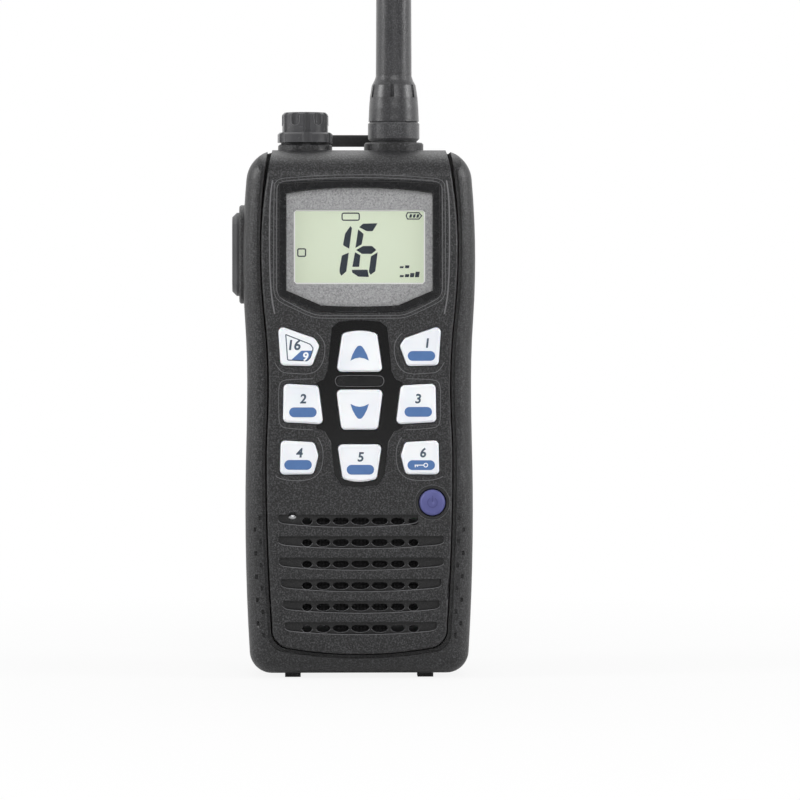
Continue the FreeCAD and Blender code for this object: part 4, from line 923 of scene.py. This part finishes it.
@dataclass
class Display:
    """Liquid crystal panel with its bars, small marks and pale rim."""

    face: float = -19.2
    ink: float = 0.02
    left: float = -17.5
    right: float = 17.5
    low: float = 105.4
    high: float = 125.2
    corner: float = 0.7
    rim_inset: float = 0.03
    rim_line: float = 0.34
    battery_line: float = 0.28
    box_line: float = 0.33
    one: tuple[Outline, ...] = (
        ((-2.4, 120.9), (-3.85, 118.8), (-4.4, 115.8), (-2.75, 114.8), (-2.0, 120.3)),
        ((-2.85, 113.8), (-4.7, 113.0), (-5.3, 109.4), (-5.3, 108.5), (-4.85, 107.6),
         (-3.5, 108.8)),
    )
    six: tuple[Outline, ...] = (
        ((0.95, 121.5), (-0.1, 120.55), (1.9, 119.5), (3.5, 119.5), (4.8, 121.6)),
        ((-0.35, 120.0), (-1.1, 115.0), (0.6, 116.0), (1.1, 118.75)),
        ((0.95, 115.55), (-0.9, 114.5), (0.65, 113.45), (3.2, 113.45), (4.5, 114.5),
         (3.35, 115.55)),
        ((-1.2, 113.9), (-1.9, 110.0), (-0.1, 110.0), (0.25, 113.1)),
        ((4.85, 113.9), (3.05, 112.8), (2.5, 108.7), (2.95, 107.9), (4.2, 108.8)),
        ((-2.05, 109.2), (-1.95, 108.5), (-0.35, 107.4), (2.5, 107.3), (2.15, 109.25)),
    )

    @property
    def ink_depth(self) -> float:
        """Thickness of a printed bar or line, in mm."""
        return self.ink * 0.6

    def digits(self, material: bpy.types.Material) -> None:
        """Model the bars of the two large leaning digits."""
        bars = []
        for outline in (*self.one, *self.six):
            bar = trimmed("bar", outline, self.face - self.ink)
            round_corners(bar, 0.1, 2)
            thicken(bar, self.ink_depth)
            bars.append(bar)
        finished(joined("display_digits", bars), material, "case")

    def marks(self, material: bpy.types.Material) -> None:
        """Model the level bars, the battery sign and the two empty frames."""
        front = self.face - self.ink
        marks = []
        for x, low, width, height in ((10.7, 109.65, 1.0, 0.5), (12.1, 109.65, 1.1, 0.75),
                                      (10.7, 107.25, 1.05, 0.55), (12.05, 107.25, 1.1, 0.8),
                                      (13.4, 107.25, 1.1, 1.1),
                                      (14.75, 107.25, 1.1, 1.45)):
            lean = 0.15 * height
            marks.append(trimmed("mark", [(x, low), (x + width, low),
                                          (x + width + lean, low + height),
                                          (x + lean, low + height)], front))
        for place in range(3):
            x = 13.2 + 0.95 * place
            marks.append(trimmed("mark", [(x, 123.1), (x + 0.65, 123.1),
                                          (x + 0.9, 124.0), (x + 0.25, 124.0)], front))
        battery = trimmed("mark", [(12.7, 122.6), (15.9, 122.6), (16.75, 123.6),
                                   (15.9, 124.55), (12.7, 124.55), (12.3, 123.6)], front)
        hollow(battery, self.battery_line)
        marks.append(battery)
        for x, z, width, height, corner in ((-2.35, 123.35, 4.9, 2.2, 0.6),
                                            (-15.4, 113.8, 2.4, 2.3, 0.5)):
            box = sheet_at("mark", x, z, width, height, front)
            round_corners(box, corner)
            hollow(box, self.box_line)
            marks.append(box)
        for mark in marks:
            thicken(mark, self.ink_depth)
        finished(joined("display_marks", marks), material, "case")

    def rim(self, material: bpy.types.Material) -> None:
        """Model the pale line printed round the panel."""
        rim = sheet_at("display_rim", (self.left + self.right) / 2,
                       (self.low + self.high) / 2,
                       self.right - self.left - 2 * self.rim_inset,
                       self.high - self.low - 2 * self.rim_inset, self.face - self.ink)
        round_corners(rim, self.corner)
        hollow(rim, self.rim_line)
        thicken(rim, self.ink_depth)
        finished(rim, material, "case")

    def corner_prints(self, material: bpy.types.Material) -> None:
        """Model the mask's four corners, which cover the panel's square ones."""
        prints = []
        for side in (1, -1):
            for edge, inward in ((self.low, 1), (self.high, -1)):
                x = self.right if side > 0 else self.left
                outline = [(x, edge), (x, edge + self.corner * inward),
                           (x - side * self.corner, edge)]
                prints.append(trimmed("print", outline[::side * inward],
                                      self.face - self.ink * 1.5))
        for piece in prints:
            thicken(piece, self.ink)
        finished(joined("mask_corners", prints), material, "case")

    def surround(self, material: bpy.types.Material) -> None:
        """Model the two moulded beads that run round the bezel and its side ridges; their
        light grey is painted highlight.
        """
        right = ((0.0, 133.75), (10.0, 133.55), (17.0, 133.05), (21.9, 132.6),
                 (22.0, 129.0), (22.1, 118.0), (22.1, 107.0), (22.1, 102.2),
                 (18.0, 100.0), (12.3, 97.2), (9.0, 97.05), (0.0, 97.05))
        side_start = 20.0
        middle = 117.0
        upright_low, upright_high = 105.0, 130.0
        beads = []
        for push, radius in ((0.0, 0.11), (0.75, 0.09)):
            half_line = []
            for x, z in right:
                outward = x + push if x > side_start else x * (1 + push / 2 / side_start)
                rise = 0 if upright_low < z < upright_high else 1 if z > middle else -1
                half_line.append((outward, z + push * rise))
            loop = [*half_line, *[(-x, z) for x, z in reversed(half_line[1:-1])]]
            beads.append(wire("bead", loop, -20.5, radius, closed=True))
        for side in (1, -1):
            ridge = ((23.1, 133.0), (23.7, 130.0), (23.95, 122.0), (23.95, 112.0),
                     (23.7, 105.0), (23.2, 100.5), (22.6, 97.5))
            beads.append(wire("ridge", [(side * x, z) for x, z in ridge], -20.42, 0.22))
        finished(joined("bezel_beads", beads), material, "case")

    def build(self) -> None:
        """Model and dress every mark of the display."""
        segment = SEGMENT.material()
        self.digits(segment)
        self.marks(segment)
        self.rim(RIM_INK.material())
        self.corner_prints(MASK.material())
        # The bezel beads and ridges take a light grey that is painted highlight.
        self.surround(HIGHLIGHT_EDGE.material())


@dataclass
class Keypad:
    """Legends on the rubber keys and the beads round their openings."""

    print_front: float = -21.38
    print_depth: float = 0.03
    pill_width: float = 7.3
    pill_height: float = 2.6
    pills: dict[str, tuple[float, float]] = field(default_factory=lambda: {
        "key_top_right": (16.45, 86.3), "key_mid_left": (-15.1, 71.3),
        "key_mid_right": (15.6, 71.4), "key_low_left": (-16.4, 57.3),
        "key_low_middle": (0.2, 56.0), "key_low_right": (16.4, 57.2)})
    numbers: dict[str, tuple[str, float, float]] = field(default_factory=lambda: {
        "key_top_right": ("1", 17.9, 89.8), "key_mid_left": ("2", -15.1, 75.0),
        "key_mid_right": ("3", 15.5, 75.0), "key_low_left": ("4", -16.1, 60.6),
        "key_low_middle": ("5", 0.2, 59.5), "key_low_right": ("6", 16.8, 60.6)})
    number_height: float = 2.5
    overprint: float = 0.012
    bead_front: float = -20.52
    bead_radius: float = 0.1
    bar_middle: float = 79.6
    bar_half_width: float = 5.1
    bar_rounding: tuple[float, float] = (1.4, 1.5)

    def pill(self, key: str, material: bpy.types.Material) -> None:
        """Model the blue lozenge on one key."""
        x, z = self.pills[key]
        pill = sheet_at(key + "_lozenge", x, z, self.pill_width, self.pill_height,
                        self.print_front)
        round_corners(pill, self.pill_height / 2 - 0.01, 7)
        thicken(pill, self.print_depth)
        finished(pill, material, key)

    def arrow(self, key: str, z: float, way: Way, material: bpy.types.Material) -> None:
        """Model one arrow with a hollow base as a half and its mirror image.

        Args:
            key: the key that carries it.
            z: height of its middle, in mm.
            way: which way it points.
            material: its ink.
        """
        halves = []
        for corners_of_half in (((0.0, -1.15), (1.2, -1.35), (1.2, 1.05), (0.65, 1.8),
                                 (0.3, 2.0), (0.0, 2.05)),
                                ((1.2, -1.35), (2.45, -1.95), (1.95, -0.4), (1.2, 1.05))):
            outline = [(x, z + up * way.value) for x, up in corners_of_half]
            halves.append(trimmed("half", outline[::way.value], self.print_front))
        arrow = joined(key + "_arrow", halves)
        apply_modifier(arrow, "MIRROR", {"merge_threshold": 1e-6})
        merged(arrow)
        thicken(arrow, self.print_depth)
        finished(arrow, material, key)

    def corner_mark(self, blue: bpy.types.Material, slate: bpy.types.Material,
                    white: bpy.types.Material) -> None:
        """Model the framed pair of numbers on the top left key."""
        key = "key_top_left"
        frame_line = trimmed(key + "_frame",
                             [(-19.3, 85.1), (-13.9, 84.85), (-13.0, 85.8),
                              (-12.2, 88.3), (-13.0, 89.5), (-19.8, 92.2)],
                             self.print_front)
        round_corners(frame_line, 0.35, 3)
        hollow(frame_line, 0.27)
        thicken(frame_line, self.print_depth)
        finished(frame_line, slate, key)
        patch = trimmed(key + "_patch",
                        [(-18.3, 85.15), (-14.0, 84.95), (-13.1, 85.9), (-12.45, 87.7),
                         (-15.5, 87.7)], self.print_front)
        round_corners(patch, 0.3, 3)
        thicken(patch, self.print_depth)
        finished(patch, blue, key)
        finished(figure(key + "_sixteen", "16", -17.6, 89.3, 2.7, self.print_front,
                        self.print_depth), slate, key)
        finished(figure(key + "_nine", "9", -14.5, 86.2, 2.3,
                        self.print_front - self.overprint, self.print_depth), white, key)

    def lock_sign(self, material: bpy.types.Material) -> None:
        """Model the small lock sign, a key's bow, stem and two teeth."""
        key = "key_low_right"
        x, z = self.pills[key]
        front = self.print_front - self.overprint
        nothing_selected()
        bpy.ops.mesh.primitive_circle_add(
            vertices=16, radius=0.62 * MM, fill_type="NGON",
            location=((x + 1.2) * MM, front * MM, z * MM), rotation=FACING_FRONT)
        bow = made("bow")
        hollow(bow, 0.24)
        parts = [bow, sheet_at("stem", x - 0.55, z, 2.4, 0.26, front),
                 sheet_at("tooth", x - 1.6, z - 0.3, 0.26, 0.5, front),
                 sheet_at("tooth", x - 1.0, z - 0.25, 0.26, 0.4, front)]
        for part in parts:
            thicken(part, 0.02)
        finished(joined(key + "_lock_sign", parts), material, key)

    def beads(self, material: bpy.types.Material) -> None:
        """Model the thin moulded beads that run round the corner keys, in a light grey that
        is painted highlight.
        """
        lines = (
            [(-22.6, 84.6), (-21.2, 81.9), (-18.5, 81.7), (-12.8, 81.3),
                         (-10.2, 83.4), (-9.2, 86.8), (-9.3, 90.6), (-11.4, 92.4)],
            [(-12.4, 80.2), (-19.6, 80.1), (-21.4, 79.2), (-21.6, 76.0),
                            (-21.5, 69.5), (-21.2, 67.8), (-19.6, 66.9), (-12.4, 66.6)],
            [(-22.3, 54.2), (-20.6, 53.1), (-13.5, 53.0), (-10.6, 55.0),
                         (-9.7, 58.2), (-9.8, 62.6), (-11.2, 64.6)],
        )
        beads = []
        for points in lines:
            for side in (1, -1):
                beads.append(wire("bead", [(side * x, z) for x, z in points],
                                  self.bead_front, self.bead_radius))
        across, up = self.bar_rounding
        bar = [(side * (self.bar_half_width + across * math.cos(turn)),
                self.bar_middle + up * math.sin(turn) * side)
               for side in (1, -1)
               for turn in [math.radians(angle) for angle in range(-75, 90, 30)]]
        beads.append(wire("bead", bar, -20.5, 0.12, closed=True))
        finished(joined("keypad_beads", beads), material, "case")

    def build(self) -> None:
        """Model and dress the legends and the beads."""
        blue, slate, white = (BLUE_INK.material(), SLATE_INK.material(),
                              WHITE_INK.material())
        for key in self.pills:
            self.pill(key, blue)
        for key, (text, x, z) in self.numbers.items():
            finished(figure(key + "_number", text, x, z, self.number_height,
                            self.print_front, self.print_depth), slate, key)
        self.arrow("key_up", 87.0, Way.UP, blue)
        self.arrow("key_down", 71.6, Way.DOWN, blue)
        self.corner_mark(blue, slate, white)
        self.lock_sign(white)
        # The key beads take a light grey that is painted highlight.
        self.beads(HIGHLIGHT_EDGE.material())


@dataclass
class MicrophoneScreen:
    """Bright woven disc over the microphone, seen through the first slot."""

    x: float = -17.95
    z: float = 43.3
    wide: float = 2.3
    tall: float = 1.5
    bulge: float = 0.9
    front: float = -19.15

    def build(self) -> None:
        """Model and dress the disc as a low dome with a flat rim."""
        nothing_selected()
        bpy.ops.mesh.primitive_uv_sphere_add(
            segments=24, ring_count=12, radius=0.5 * MM,
            location=(self.x * MM, self.front * MM, self.z * MM))
        dome = bpy.context.object
        dome.scale = (self.wide, self.bulge, self.tall)
        made("microphone_screen")
        with edited(dome):
            bpy.ops.mesh.bisect(plane_co=(0, self.front * MM, 0), plane_no=(0, 1, 0),
                                clear_outer=True, use_fill=True)
        finished(dome, SCREEN.material(), "case")


@dataclass
class Grille:
    """Lips under the slots and round the lower half of the oval holes.

    The tool's edges are sharp there and catch the light, so each lip is a thin light line
    of painted highlight.
    """

    top: float = 44.0
    pitch: float = 5.74
    drop: float = 2.3
    sag: float = 1.1
    face: float = -20.5
    floor: float = -19.3
    row_drop: float = 1.85
    hole: float = 1.95
    lip_steps: int = 8
    lip_end_rise: float = 0.7
    lip_radius: float = 0.1
    rim_gap: float = 0.12
    rim_radius: float = 0.08
    ends: tuple[tuple[float, float], ...] = (
        (-21.6, 15.6), (-21.6, 22.4), (-21.4, 22.4), (-20.9, 21.8), (-20.4, 21.3),
        (-19.9, 20.6))
    ovals: tuple[tuple[float, float], ...] = (
        (-14.0, 2.7), (-9.7, 3.7), (-5.0, 4.3), (0.2, 4.8), (5.4, 4.3), (10.2, 3.7),
        (14.4, 2.7))

    def lip(self, row: int) -> bpy.types.Object:
        """Return the bead under one slot."""
        left, right = self.ends[row]
        low = self.top - self.pitch * row - self.drop
        line = [(left, low + self.lip_end_rise), (left, low)]
        for step in range(1, self.lip_steps):
            share = step / self.lip_steps
            line.append((left + (right - left) * share,
                         low - self.sag * 4 * share * (1 - share)))
        line += [(right, low), (right, low + self.lip_end_rise)]
        return wire("lip", line, self.face + 0.02, self.lip_radius)

    def rim(self, row: int, x: float, width: float) -> bpy.types.Object:
        """Return the bead round the lower half of one hole."""
        middle = self.top - self.pitch * row - self.row_drop
        turns = [math.radians(angle) for angle in range(185, 360, 34)]
        line = [(x + (width / 2 + self.rim_gap) * math.cos(turn),
                 middle + (self.hole / 2 + self.rim_gap) * math.sin(turn))
                for turn in turns]
        return wire("rim", line, self.floor, self.rim_radius)

    def build(self) -> None:
        """Model and dress the lips of all rows."""
        rows = range(len(self.ends))
        # The lips and hole rims take a light grey that is painted highlight.
        finished(joined("grille_lips", [self.lip(row) for row in rows]), HIGHLIGHT_LIP.material(),
                 "case")
        rims = [self.rim(row, x, width) for row in rows for x, width in self.ovals
                if x + width / 2 < self.ends[row][1]]
        finished(joined("grille_rims", rims), HIGHLIGHT_LIP.material(), "case")


@dataclass
class PowerKey:
    """Mark on the violet power key, a broken ring and a stroke, and its moulded rim, whose
    light grey is painted highlight.
    """

    x: float = 19.4
    z: float = 47.2
    front: float = -21.0
    radius: float = 1.45
    line: float = 0.3
    print_lift: float = 0.02
    print_depth: float = 0.03
    break_half: float = 0.55
    stroke_rise: float = 1.0
    stroke_length: float = 1.7
    rim_radius: float = 4.75
    rim_front: float = -20.48
    rim_bead: float = 0.11

    def rim(self) -> bpy.types.Object:
        """Return the bead that runs round the key's opening."""
        turns = [math.radians(angle) for angle in range(0, 360, 30)]
        return wire("power_rim", [(self.x + self.rim_radius * math.cos(turn),
                                   self.z + self.rim_radius * math.sin(turn))
                                  for turn in turns], self.rim_front, self.rim_bead,
                    closed=True)

    def build(self) -> None:
        """Model and dress the mark and the rim."""
        print_front = self.front - self.print_lift
        nothing_selected()
        bpy.ops.mesh.primitive_circle_add(
            vertices=24, radius=self.radius * MM, fill_type="NGON",
            location=(self.x * MM, print_front * MM, self.z * MM),
            rotation=FACING_FRONT)
        ring = made("ring")
        hollow(ring, self.line)
        for face in ring.data.polygons:
            middle = face.center - Vector((self.x * MM, 0, self.z * MM))
            face.select = abs(middle.x) < self.break_half * MM and middle.z > 0
        bpy.ops.object.mode_set(mode="EDIT")
        bpy.ops.mesh.delete(type="FACE")
        bpy.ops.object.mode_set(mode="OBJECT")
        stroke = sheet_at("stroke", self.x, self.z + self.stroke_rise, self.line,
                          self.stroke_length, print_front)
        for part in (ring, stroke):
            thicken(part, self.print_depth)
        finished(joined("power_mark", [ring, stroke]), FAINT_INK.material(),
                 "power_key")
        # The rim bead takes a light grey that is painted highlight.
        finished(self.rim(), HIGHLIGHT_EDGE.material(), "case")


@dataclass
class ConnectorCap:
    """Rims of the thumb scoops round the connector's cap, in a light grey that is painted
    highlight.
    """

    x: float = -14.4
    y: float = -3.6
    radius: float = 6.22
    half_angle: float = 12.0
    first: float = -56.0
    count: int = 6
    bead_radius: float = 0.09
    profile: Outline = ((-1.0, 0.9), (-1.0, 2.5), (-0.75, 3.3), (0.0, 3.6), (0.75, 3.3),
                        (1.0, 2.5), (1.0, 0.9))

    def rim(self, turn: float, top: float) -> bpy.types.Object:
        """Return the bead round one scoop, given its turn and the cap's top in mm."""
        line = []
        for share, drop in self.profile:
            angle = math.radians(turn + self.half_angle * share)
            line.append((self.x + self.radius * math.cos(angle),
                         self.y + self.radius * math.sin(angle), top - drop))
        return bead("rim", line, self.bead_radius)

    def build(self) -> None:
        """Model and dress the rims of all scoops."""
        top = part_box("jack_cap")[1].z / MM
        rims = [self.rim(self.first + 360 * step / self.count, top)
                for step in range(self.count)]
        # The scoop rims take a light grey that is painted highlight.
        finished(joined("cap_scoop_rims", rims), HIGHLIGHT_LIP.material(), "jack_cap")


# Camera, light and floor


@dataclass
class Studio:
    """Pale floor, soft lamps and the camera of the photograph."""

    aim: tuple[float, float, float] = (0.0108, -0.0190, 0.0745)
    distance: float = 1.15
    lens: float = 194.0
    azimuth: float = -1.5
    elevation: float = 1.5
    lamp_share: float = 0.8
    lamp_aim: tuple[float, float, float] = (0.0, 0.0, 0.12)
    floor_white: float = 0.88
    floor_size: float = 6.0
    floor_drop: float = 0.00005
    shadow_reach: tuple[float, float] = (0.08, 0.3)
    room: float = 0.22
    glossy_fill: float = 0.34

    def camera(self) -> None:
        """Place the camera and make it the scene's."""
        nothing_selected()
        side, up = math.radians(self.azimuth), math.radians(self.elevation)
        away = Vector((math.sin(side) * math.cos(up), -math.cos(side) * math.cos(up),
                       math.sin(up)))
        bpy.ops.object.camera_add(location=Vector(self.aim) + away * self.distance)
        camera = bpy.context.object
        camera.rotation_mode = "QUATERNION"
        camera.rotation_quaternion = (-away).to_track_quat("-Z", "Y")
        camera.data.lens = self.lens
        camera.data.sensor_width = 36.0
        camera.data.clip_start = 0.05
        bpy.context.scene.camera = camera

    def lamps(self) -> None:
        """Place a large soft lamp on each side, one in front and one above."""
        for place, size, power in (((-1.05, -0.3, 0.55), 0.4, 7.5),
                                   ((1.05, -0.3, 0.5), 0.4, 6.5),
                                   ((0.1, -1.3, 0.9), 0.8, 9.5),
                                   ((0.0, 0.5, 1.0), 0.7, 3.0)):
            nothing_selected()
            bpy.ops.object.light_add(type="AREA", location=place)
            lamp = bpy.context.object
            lamp.data.size = size
            lamp.data.energy = power * self.lamp_share
            toward = Vector(self.lamp_aim) - Vector(place)
            lamp.rotation_mode = "QUATERNION"
            lamp.rotation_quaternion = toward.to_track_quat("-Z", "Y")

    def floor(self) -> None:
        """Lay the floor, white to the camera apart from the object's shadow."""
        nothing_selected()
        bpy.ops.mesh.primitive_plane_add(size=self.floor_size,
                                         location=(0, 0, -self.floor_drop))
        floor = made("studio_floor")
        material, tree = new_material("pale_floor_paper")
        matt = add_node(tree, "ShaderNodeBsdfDiffuse", {"Color": linear("#ececec")})
        white = add_node(tree, "ShaderNodeEmission", {"Color": linear("#ffffff")})
        path = add_node(tree, "ShaderNodeLightPath")
        reach = add_node(tree, "ShaderNodeVectorMath", {"operation": "LENGTH"},
                         {0: object_place(tree)}).outputs["Value"]
        cover = spread(tree, reach, *self.shadow_reach, self.floor_white, 1.0)
        share = product(tree, path.outputs["Is Camera Ray"], cover)
        mix = add_node(tree, "ShaderNodeMixShader",
                       links={0: share, 1: matt.outputs["BSDF"],
                              2: white.outputs["Emission"]})
        add_node(tree, "ShaderNodeOutputMaterial", links={"Surface": mix.outputs[0]})
        floor.data.materials.append(material)

    def world(self) -> None:
        """Set a white backdrop, a greyer room behind the camera and a soft fill."""
        world = bpy.data.worlds.new("studio_white")
        bpy.context.scene.world = world
        world.use_nodes = True
        tree = world.node_tree
        tree.nodes.clear()
        path = add_node(tree, "ShaderNodeLightPath")
        seen = add_node(tree, "ShaderNodeMath", {"operation": "MAXIMUM"},
                        {0: path.outputs["Is Camera Ray"],
                         1: path.outputs["Is Transmission Ray"]})
        way = add_node(tree, "ShaderNodeSeparateXYZ",
                       links={"Vector": add_node(tree, "ShaderNodeTexCoord")
                              .outputs["Generated"]}).outputs["Y"]
        backdrop = spread(tree, way, -0.6, 0.3, self.room, 1.0)
        mirrored = add_node(tree, "ShaderNodeMix", {2: self.glossy_fill},
                            {0: path.outputs["Is Glossy Ray"], 3: backdrop})
        strength = add_node(tree, "ShaderNodeMix", {3: 1.0},
                            {0: seen.outputs["Value"], 2: mirrored.outputs[0]})
        light = add_node(tree, "ShaderNodeBackground", {"Color": linear("#ffffff")},
                         {"Strength": strength.outputs[0]})
        add_node(tree, "ShaderNodeOutputWorld", links={"Surface": light.outputs[0]})

    def build(self) -> None:
        """Set up camera, lamps, floor and world."""
        self.camera()
        self.lamps()
        self.floor()
        self.world()
        bpy.context.scene.view_settings.view_transform = "Standard"


def main() -> None:
    """Build the studio, dress the nodes and model each sub-assembly in order."""
    logging.basicConfig(level=logging.INFO, format="%(message)s")
    Studio().build()
    dress_nodes()
    for part in (Display(), Keypad(), MicrophoneScreen(), Grille(), PowerKey(),
                 ConnectorCap()):
        LOG.info("building %s", type(part).__name__)
        part.build()
    nothing_selected()


if __name__ == "__main__":
    main()
